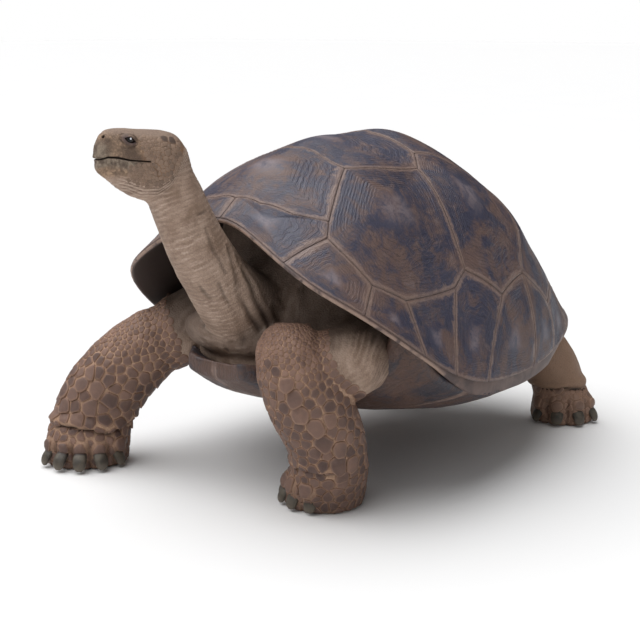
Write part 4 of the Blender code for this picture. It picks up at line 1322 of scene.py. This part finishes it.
def cell_outlines(sites, sizes, gap):
    """Each site's own axes on the skin, and the outline of the room left to its scale."""
    near = KDTree(len(sites))
    for index, place in enumerate(sites):
        near.insert(place, index)
    near.balance()
    turns = [math.tau * step / 10 for step in range(10)]
    frames, outlines = [], []
    for index, place in enumerate(sites):
        spot, normal, _, _ = skin_tree.find_nearest(Vector(place + BODY))
        down = Vector((0, 0, -1)) - normal * -normal.z
        down = down.normalized() if down.length > 0.05 else Vector((0, 1, 0)).cross(normal).normalized()
        side = normal.cross(down)
        size = sizes[index]
        outline = [(1.5 * size * math.cos(turn), 1.5 * size * math.sin(turn)) for turn in turns]
        for _, other, far in near.find_range(place, size * 2.2 + 0.030):
            step = Vector(sites[other] - place)
            flat = (step.dot(down), step.dot(side))
            length = math.hypot(*flat)
            if other == index or length < 1e-4:
                continue
            share = length * size / (size + sizes[other])
            between = gap * min(1.0, size / 0.009)
            outline = clip_outline(outline, (flat[0] / length, flat[1] / length), share - between / 2)
        frames.append((spot, normal, down, side))
        outlines.append(outline)
    return frames, outlines


def settle(sites, sizes, rounds=2):
    """Move each site to the middle of its room, so that the scales fit together evenly."""
    for _ in range(rounds):
        frames, outlines = cell_outlines(sites, sizes, 0.0)
        for index, ((spot, normal, down, side), outline) in enumerate(zip(frames, outlines)):
            if len(outline) > 2:
                along = sum(corner[0] for corner in outline) / len(outline)
                across = sum(corner[1] for corner in outline) / len(outline)
                sites[index] = np.array(spot + down * along + side * across) - BODY
    return sites


def grow_scales(name, sites, sizes, gap, thickness, lean, unwrap, material, darkest=0):
    """Raise a scale on each site: its outline fills the room left between its neighbours."""
    frames, outlines = cell_outlines(settle(sites, sizes), sizes, gap)
    bm = bmesh.new()
    number = bm.faces.layers.int.new("site")
    rim = bm.verts.layers.float.new("rim")
    for index, ((spot, normal, down, side), outline) in enumerate(zip(frames, outlines)):
        if len(outline) < 3:
            continue
        lap = 1 + SHINGLE_LAP * min(lean(sites[index], sizes[index]), 1)
        ring = []
        for along, across in rounded_outline(outline):
            reach = along * (lap if along > 0 else 1)
            foot, out, _, _ = skin_tree.find_nearest(spot + down * reach + side * across)
            ring.append(bm.verts.new(foot - out * ROOT_DEPTH))
        face = bm.faces.new(ring)
        face[number] = index
        for vert in ring:
            vert[rim] = 1.25
    bm.normal_update()
    for face in bm.faces:
        if face.normal.dot(frames[face[number]][1]) < 0:
            face.normal_flip()
    grown = bmesh.ops.extrude_face_region(bm, geom=list(bm.faces), use_keep_orig=True)["geom"]
    tops = [item for item in grown if isinstance(item, bmesh.types.BMFace)]
    for drawn, rise, edge in ((0.97, 0.50, 1.0), (0.80, 0.88, 0.7), (0.40, 1.0, 0.25)):
        if edge < 1:
            tops = bmesh.ops.extrude_discrete_faces(bm, faces=tops)["faces"]
        for face in tops:
            spot, normal, down, side = frames[face[number]]
            size = sizes[face[number]]
            tilt = lean(sites[face[number]], size)
            for vert in face.verts:
                foot, out, _, _ = skin_tree.find_nearest(spot + (vert.co - spot) * drawn)
                tip = max((foot - spot).dot(down) / size, 0)
                vert.co = foot + out * ((thickness * size + 0.0005) * (rise + tilt * tip))
                vert.co.z = max(vert.co.z, 0.0015)
                vert[rim] = edge
    bmesh.ops.poke(bm, faces=tops)
    bmesh.ops.recalc_face_normals(bm, faces=bm.faces)
    piece = add_object(name, bm, material)
    mesh = piece.data
    place = read_values(mesh.vertices, "co", 3, np.float32)
    loop_vertex = read_values(mesh.loops, "vertex_index")
    face_site = read_values(mesh.attributes["site"].data, "value")
    loop_site = np.repeat(face_site, read_values(mesh.polygons, "loop_total"))
    spots, downs, sides = (np.array([frame[part] for frame in frames])[loop_site] for part in (0, 2, 3))
    size = sizes[loop_site]
    offset = place[loop_vertex] - spots
    patch = np.stack(((offset * sides).sum(1) / size, (offset * downs).sum(1) / size), -1) * SCALE_PATCH
    home = unwrap(sites)[loop_site]
    layer = mesh.uv_layers.new(name="OFBake")
    layer.data.foreach_set("uv", (home + patch).astype(np.float32).ravel())
    chance = np.random.default_rng(len(sites)).random(len(sites)).astype(np.float32)
    tone = (0.15 if not darkest else 0.50) + 0.45 * chance
    tone += 0.35 * (1 - np.clip((sizes - 0.0045) / 0.0060, 0, 1)).astype(np.float32) * (darkest == 0)
    tone[:darkest] = -0.2
    tones = np.zeros(len(mesh.vertices), np.float32)
    tones[loop_vertex] = tone[loop_site]
    mesh.attributes.new("tone", "FLOAT", "POINT").data.foreach_set("value", tones)
    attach(piece, "root")
    return piece


def leg_unwrap(column):
    """A leg's skin rolled out: round it, and along it."""
    low, high = np.array(column[0], float), np.array(column[1], float)

    def unwrap(sites):
        share = np.clip((sites[:, 2] - low[2]) / (high[2] - low[2]), 0, 1)
        axis = low + (high - low) * share[:, None]
        turn = np.arctan2(sites[:, 1] - axis[:, 1], sites[:, 0] - axis[:, 0]) / math.tau + 0.5
        return np.stack((0.01 + 0.98 * turn, 0.01 + 0.98 * share), -1)

    return unwrap


def build_scale_material(name, dark_tone, pale_tone, edge_tone):
    """Scale horn: each plate its own tone, paler at its edge, with painted shade in its grain's furrows.
    """
    material, tree, shader, where = new_material(name)
    grain = put(tree, "ShaderNodeGroup", {"node_tree": hide_grain}, Where=where, Cells=330.0).outputs
    shade = maths(tree, "ADD", maths(tree, "MULTIPLY", field(tree, "tone"), 0.6),
                  maths(tree, "MULTIPLY", grain["Mottle"], 0.6))
    colour = blend_colour(tree, ramp(tree, shade, 0.25, 0.95), dark_tone, pale_tone)
    colour = tint(tree, colour, edge_tone, ramp(tree, field(tree, "rim"), 0.55, 1.0), 0.75)
    # Painted shade in the furrows of the grain.
    colour = tint(tree, colour, FOLD_SHADE, grain["Furrow"], 0.10)
    shader.inputs["Specular IOR Level"].default_value = 0.4
    rough = ramp(tree, grain["Mottle"], 0.3, 0.7, 0.48, 0.66)
    finish_material(tree, shader, colour, rough, grain["Height"], 0.35, 0.0008)
    return material


foreleg_scale = build_scale_material(
    "foreleg_scale", srgb(78, 59, 54), srgb(138, 108, 93), srgb(152, 120, 100))

skin_points, _ = read_points(skin.data)
edge_room = np.where(forearm > 0, forearm, 1.0)
LEFT_COLUMN = ((0.148, -0.226, 0.0), (0.157, -0.337, 0.400))
RIGHT_COLUMN = ((-0.433, -0.361, 0.0), (-0.272, -0.214, 0.340))
LEFT_SHINGLES = (
    ((0.160, -0.406, 0.337), 0.0110), ((0.178, -0.405, 0.322), 0.0120), ((0.200, -0.401, 0.300), 0.0145),
    ((0.213, -0.393, 0.272), 0.0155), ((0.228, -0.383, 0.243), 0.0165), ((0.243, -0.366, 0.212), 0.0170),
    ((0.259, -0.345, 0.222), 0.0130), ((0.252, -0.345, 0.180), 0.0170), ((0.262, -0.312, 0.160), 0.0160),
    ((0.240, -0.357, 0.150), 0.0135), ((0.257, -0.318, 0.125), 0.0165), ((0.262, -0.280, 0.125), 0.0155),
    ((0.250, -0.300, 0.092), 0.0140),
)
RIGHT_SHINGLES = (
    ((-0.310, -0.344, 0.190), 0.017), ((-0.340, -0.377, 0.162), 0.017), ((-0.365, -0.392, 0.190), 0.015),
    ((-0.400, -0.408, 0.190), 0.016), ((-0.450, -0.410, 0.173), 0.016), ((-0.436, -0.418, 0.140), 0.017),
    ((-0.376, -0.402, 0.145), 0.017), ((-0.405, -0.416, 0.112), 0.017), ((-0.353, -0.383, 0.118), 0.016),
    ((-0.466, -0.418, 0.112), 0.016), ((-0.323, -0.349, 0.145), 0.015), ((-0.338, -0.352, 0.102), 0.014),
    ((-0.478, -0.390, 0.150), 0.015), ((-0.440, -0.395, 0.215), 0.014), ((-0.385, -0.395, 0.225), 0.013),
)


def toe_sites(middle, half, toes, count):
    """A broad plate over the root of each claw, and one above each of those."""
    sites = []
    for number in range(count):
        turn = math.radians(toes + CLAW_SPREAD * (2 * number / (count - 1) - 1))
        for out, level, size in ((half + 0.010, 0.056, 0.0185), (half + 0.002, 0.083, 0.0100)):
            x, y = middle[0] + out * math.cos(turn), middle[1] + out * math.sin(turn)
            sites.append(((x, y, level), size))
    return sites


def snap(sites):
    """Bring named sites on to the skin."""
    return [(np.array(skin_tree.find_nearest(Vector(np.array(place) + BODY))[0]) - BODY, size)
            for place, size in sites]


def scatter_on(mask, size_of, fixed, spacing, seed, copies=3):
    """Sites over the part of the skin that a mask picks, smaller towards its edge."""
    chosen = skin_points[mask]
    rng = np.random.default_rng(seed)
    shaken = [chosen + rng.uniform(-0.003, 0.003, chosen.shape) for _ in range(copies)]
    spread = np.concatenate([chosen] + shaken)
    inner = np.tile(0.55 + 0.45 * step_up(edge_room[mask], 0.0, 0.45), copies + 1)
    return throw_sites(spread, size_of(spread) * inner, snap(fixed), spacing, seed)


def left_size(points):
    size = 0.0046 + 0.0048 * step_up(0.385 - points[:, 2], 0.0, 0.14)
    outer = step_up(points[:, 0] - 0.9 * (points[:, 1] + 0.29), 0.18, 0.25)
    size += 0.0018 * outer * step_up(0.31 - points[:, 2], 0.0, 0.06)
    return size * (1 + 0.10 * wander(points, 60.0, 4.0))


def right_size(points):
    size = 0.0062 + 0.0064 * step_up(0.31 - points[:, 2], 0.01, 0.11)
    size -= 0.0030 * step_up(0.090 - points[:, 2], 0.0, 0.03)
    return size * (1 + 0.12 * wander(points, 60.0, 8.0))


def hind_size(points):
    size = 0.0074 - 0.0030 * step_up(points[:, 2], 0.055, 0.085)
    return size * (1 + 0.2 * wander(points, 60.0, 8.0))


SCALE_ROOM = 0.86           # how near two scales' middles come, for the sum of their radii
BIG_SHINGLE = 0.0125        # a scale with more than this radius is a shingle,
ANKLE_TOP = 0.075           # where it grows above this height


def shingle_lean(tilt):
    """How far a scale's lower end stands off: more on the big shingles above the ankle."""
    return lambda place, size: tilt if size > BIG_SHINGLE and place[2] > ANKLE_TOP else 0.3


on_foreleg = (forearm > 0.3) & (ankle < 0.55)
off_floor = skin_points[:, 2] > 0.012
left_mask = on_foreleg & (skin_points[:, 0] > 0.05) & off_floor & (skin_points[:, 1] < -0.10)
right_mask = on_foreleg & (skin_points[:, 0] < -0.05) & off_floor
FORELEG_SCALES = (
    ("left", left_mask, left_size, LEFT_SHINGLES, LEFT_COLUMN, 0.0014, 0.23, 1.5),
    ("right", right_mask, right_size, RIGHT_SHINGLES, RIGHT_COLUMN, 0.0020, 0.20, 1.1),
)
for index, (side, mask, size_of, shingles, column, gap, thickness, tilt) in enumerate(FORELEG_SCALES):
    fixed = [*shingles, *toe_sites(*LEGS[index][1:5])]
    sites, sizes = scatter_on(mask, size_of, fixed, SCALE_ROOM, 11 + index)
    grow_scales(f"{side}_foreleg_scales", sites, sizes, gap, thickness, shingle_lean(tilt),
                leg_unwrap(column), foreleg_scale)
hind_scale = build_scale_material(
    "hindleg_scale", srgb(108, 85, 73), srgb(146, 116, 98), srgb(158, 126, 106))
for index, side in ((2, "left"), (3, "right")):
    _, middle, half, toes, count, shin, _ = LEGS[index]
    far = np.hypot(skin_points[:, 0] - middle[0], skin_points[:, 1] - middle[1])
    mask = (far < 0.13) & off_floor & (skin_points[:, 2] < 0.084)
    fixed = toe_sites(middle, half, toes, count)
    sites, sizes = scatter_on(mask, hind_size, fixed, 0.82, 13 + index)
    grow_scales(f"{side}_hindleg_scales", sites, sizes, 0.0012, 0.10, lambda place, size: 0.2,
                leg_unwrap(((*middle, 0.0), (*shin, 0.20))), hind_scale)

# Small plates over the cheeks, temples and jaw; the crown is left smooth.
local = to_head(skin_points)
behind = local[:, 1] + 0.30 * local[:, 2]
on_cheek = on_head(skin_points) & (face > 0.5)
mask = on_cheek & (behind > 0.088) & (local[:, 2] < 0.034) & (local[:, 1] < 0.150) \
    & (np.abs(above_line(local, MOUTH_LINE)) > 0.0055)
mask |= on_cheek & (local[:, 1] > 0.062) & (over_lip < -0.012)
TEMPLE_SCALES = ((0.0389, 0.1200, 0.0300, 0.0066), (0.0376, 0.1367, 0.0290, 0.0072),
                 (0.0500, 0.1263, 0.0085, 0.0066))
temples = [(from_head(np.array((side * x, y, z))), size)
           for x, y, z, size in TEMPLE_SCALES for side in (1, -1)]


def cheek_size(points):
    local = to_head(points)
    return (0.0032 + 0.0010 * step_up(local[:, 1], 0.08, 0.13)) * (1 + 0.2 * wander(points, 90.0, 3.0))


def head_unwrap(sites):
    """The head's skin rolled out: round it, and back from the beak."""
    local = to_head(sites)
    turn = np.arctan2(local[:, 2] + 0.012, local[:, 0]) / math.tau + 0.5
    return np.stack((0.01 + 0.98 * turn, 0.01 + 0.98 * np.clip(local[:, 1] / 0.2, 0, 1)), -1)


sites, sizes = scatter_on(mask, cheek_size, temples, SCALE_ROOM, 21, 1)
head_scale = build_scale_material(
    "head_scale", srgb(84, 68, 59), srgb(146, 122, 104), srgb(146, 121, 103))
grow_scales("head_scales", sites, sizes, 0.0007, 0.05, lambda place, size: 0.0, head_unwrap,
            head_scale, darkest=4)


# ---- claws --------------------------------------------------------------------------
# Thick blunt nails, five to each forefoot and four to each hind foot, grown from the
# toes in long flat ridges and worn round at the tip.
CLAW_LENGTH = 0.022         # how far the nail reaches out
CLAW_ROOT = 0.040           # how high its root is
CLAW_TIP = 0.0070           # how high its tip's middle is
CLAW_HALF = 0.0150
CLAW_FLATNESS = 0.62        # its thickness for its width
claw_horn, tree, shader, where = new_material("claw_horn")
mottle = cloud(tree, where, 60.0, 4.0, 0.5)
along = field(tree, "along")
colour = blend_colour(tree, ramp(tree, mottle, 0.3, 0.7), srgb(54, 48, 41), srgb(86, 78, 66))
colour = tint(tree, colour, srgb(98, 88, 75), ramp(tree, along, 0.55, 1.0))
stripe = ramp(tree, maths(tree, "SINE", maths(tree, "MULTIPLY", field(tree, "round"), 60.0)), 0.1, 0.9)
colour = tint(tree, colour, srgb(52, 45, 40), stripe, 0.25)
# Painted shade at the claw's root, under the toe's pad.
colour = tint(tree, colour, FOLD_SHADE, ramp(tree, along, 0.24, 0.12))
finish_material(tree, shader, colour, 0.5, maths(tree, "SUBTRACT", mottle, stripe), 0.4, 0.0006)

for name, middle, half, toes, count, _, _ in LEGS:
    bm = bmesh.new()
    for number in range(count):
        heading = math.radians(toes + CLAW_SPREAD * (2 * number / (count - 1) - 1))
        out = np.array((math.cos(heading), math.sin(heading), 0.0))
        side = np.array((-math.sin(heading), math.cos(heading), 0.0))
        small = 0.92 if number in (0, count - 1) else 1.0

        def claw_place(turn, row):
            share = np.array([0, 0] + list(np.linspace(0, 1, 15)) + [1.0, 1.0])[row]
            drawn = np.array([0, 0.6] + [1.0] * 12 + [0.97, 0.86, 0.66, 0.38, 0.0])[row]
            taper = 0.92 + 0.16 * np.sin(math.pi * share) - 0.20 * share ** 2
            thick = CLAW_HALF * small * taper * drawn
            angle = math.tau * turn
            ridge = 1 + 0.015 * np.sin(angle * 14) * (np.sin(angle) > -0.2)
            centre = (np.array((middle[0], middle[1], 0.0))
                      + out * (half - 0.014 + CLAW_LENGTH * np.sin(share * math.pi / 2))[:, None])
            centre[:, 2] = CLAW_ROOT * (1 - share ** 1.25) + CLAW_TIP * share ** 1.25
            steep = CLAW_LENGTH * np.cos(share * math.pi / 2) * 1.4
            up = np.array((0, 0, 1.0)) * (steep / CLAW_ROOT)[:, None] + out
            up /= np.linalg.norm(up, axis=1, keepdims=True)
            points = (centre + side * (thick * np.cos(angle) * ridge)[:, None]
                      + up * (thick * np.sin(angle) * CLAW_FLATNESS * ridge)[:, None])
            points[:, 2] = np.maximum(points[:, 2], 0.0012)
            return BODY + points, {"along": share, "round": angle}

        join_in(bm, wrapped_grid(28, 18, claw_place))
    claws = add_object(f"{name}_claws", bm, claw_horn)
    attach(claws, "root")
    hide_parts(*[f"{name}_claw_{number + 1}" for number in range(count)])


# ---- eyes ---------------------------------------------------------------------------
# Dark wet eyes set deep behind their lids: a clear bulge over a brown iris and a round
# black pupil, with a grey-brown ball behind and a white fleck painted on as a highlight.
eye_material, tree, shader, where = new_material("eye")
gaze = field(tree, "gaze")
iris = blend_colour(tree, cloud(tree, where, 700.0, 2.0), srgb(26, 17, 13), srgb(42, 27, 19))
colour = blend_colour(tree, ramp(tree, gaze, 0.90, 0.94), iris, srgb(8, 6, 6))
colour = tint(tree, colour, srgb(30, 24, 22), ramp(tree, gaze, 0.74, 0.62))
# Painted highlight: a white fleck on the ball, where a light's reflection would sit.
colour = tint(tree, colour, srgb(236, 238, 244), ramp(tree, field(tree, "painted_highlight"), 0.980, 0.987))
tree.links.new(colour, shader.inputs["Base Color"])
shader.inputs["Roughness"].default_value = 0.08
shader.inputs["Specular IOR Level"].default_value = 0.25
shader.inputs["Coat Weight"].default_value = 0.15
shader.inputs["Coat Roughness"].default_value = 0.03
for side, name in ((1, "eye_left"), (-1, "eye_right")):
    ball = bmesh.new()
    bmesh.ops.create_uvsphere(ball, u_segments=56, v_segments=36, radius=EYE_RADIUS)
    gaze_layer = ball.verts.layers.float.new("gaze")
    painted_highlight_layer = ball.verts.layers.float.new("painted_highlight")
    look = Vector((side, -0.22, -0.06)).normalized()
    painted_highlight = Vector((side, 0.02, 0.20)).normalized()
    for vert in ball.verts:
        facing = vert.co.normalized().dot(look)
        vert[gaze_layer] = facing
        vert[painted_highlight_layer] = vert.co.normalized().dot(painted_highlight)
        vert.co += look * (0.0010 * max(0.0, (facing - 0.80) / 0.20) ** 2)
    place = Matrix.Translation(BODY) @ HEAD_PLACE @ Matrix.Translation(EYE_PLACE * (side, 1, 1))
    bmesh.ops.transform(ball, matrix=place, verts=ball.verts)
    eye = add_object(f"{name}_ball", ball, eye_material)
    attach(eye, "root")
    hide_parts(name)
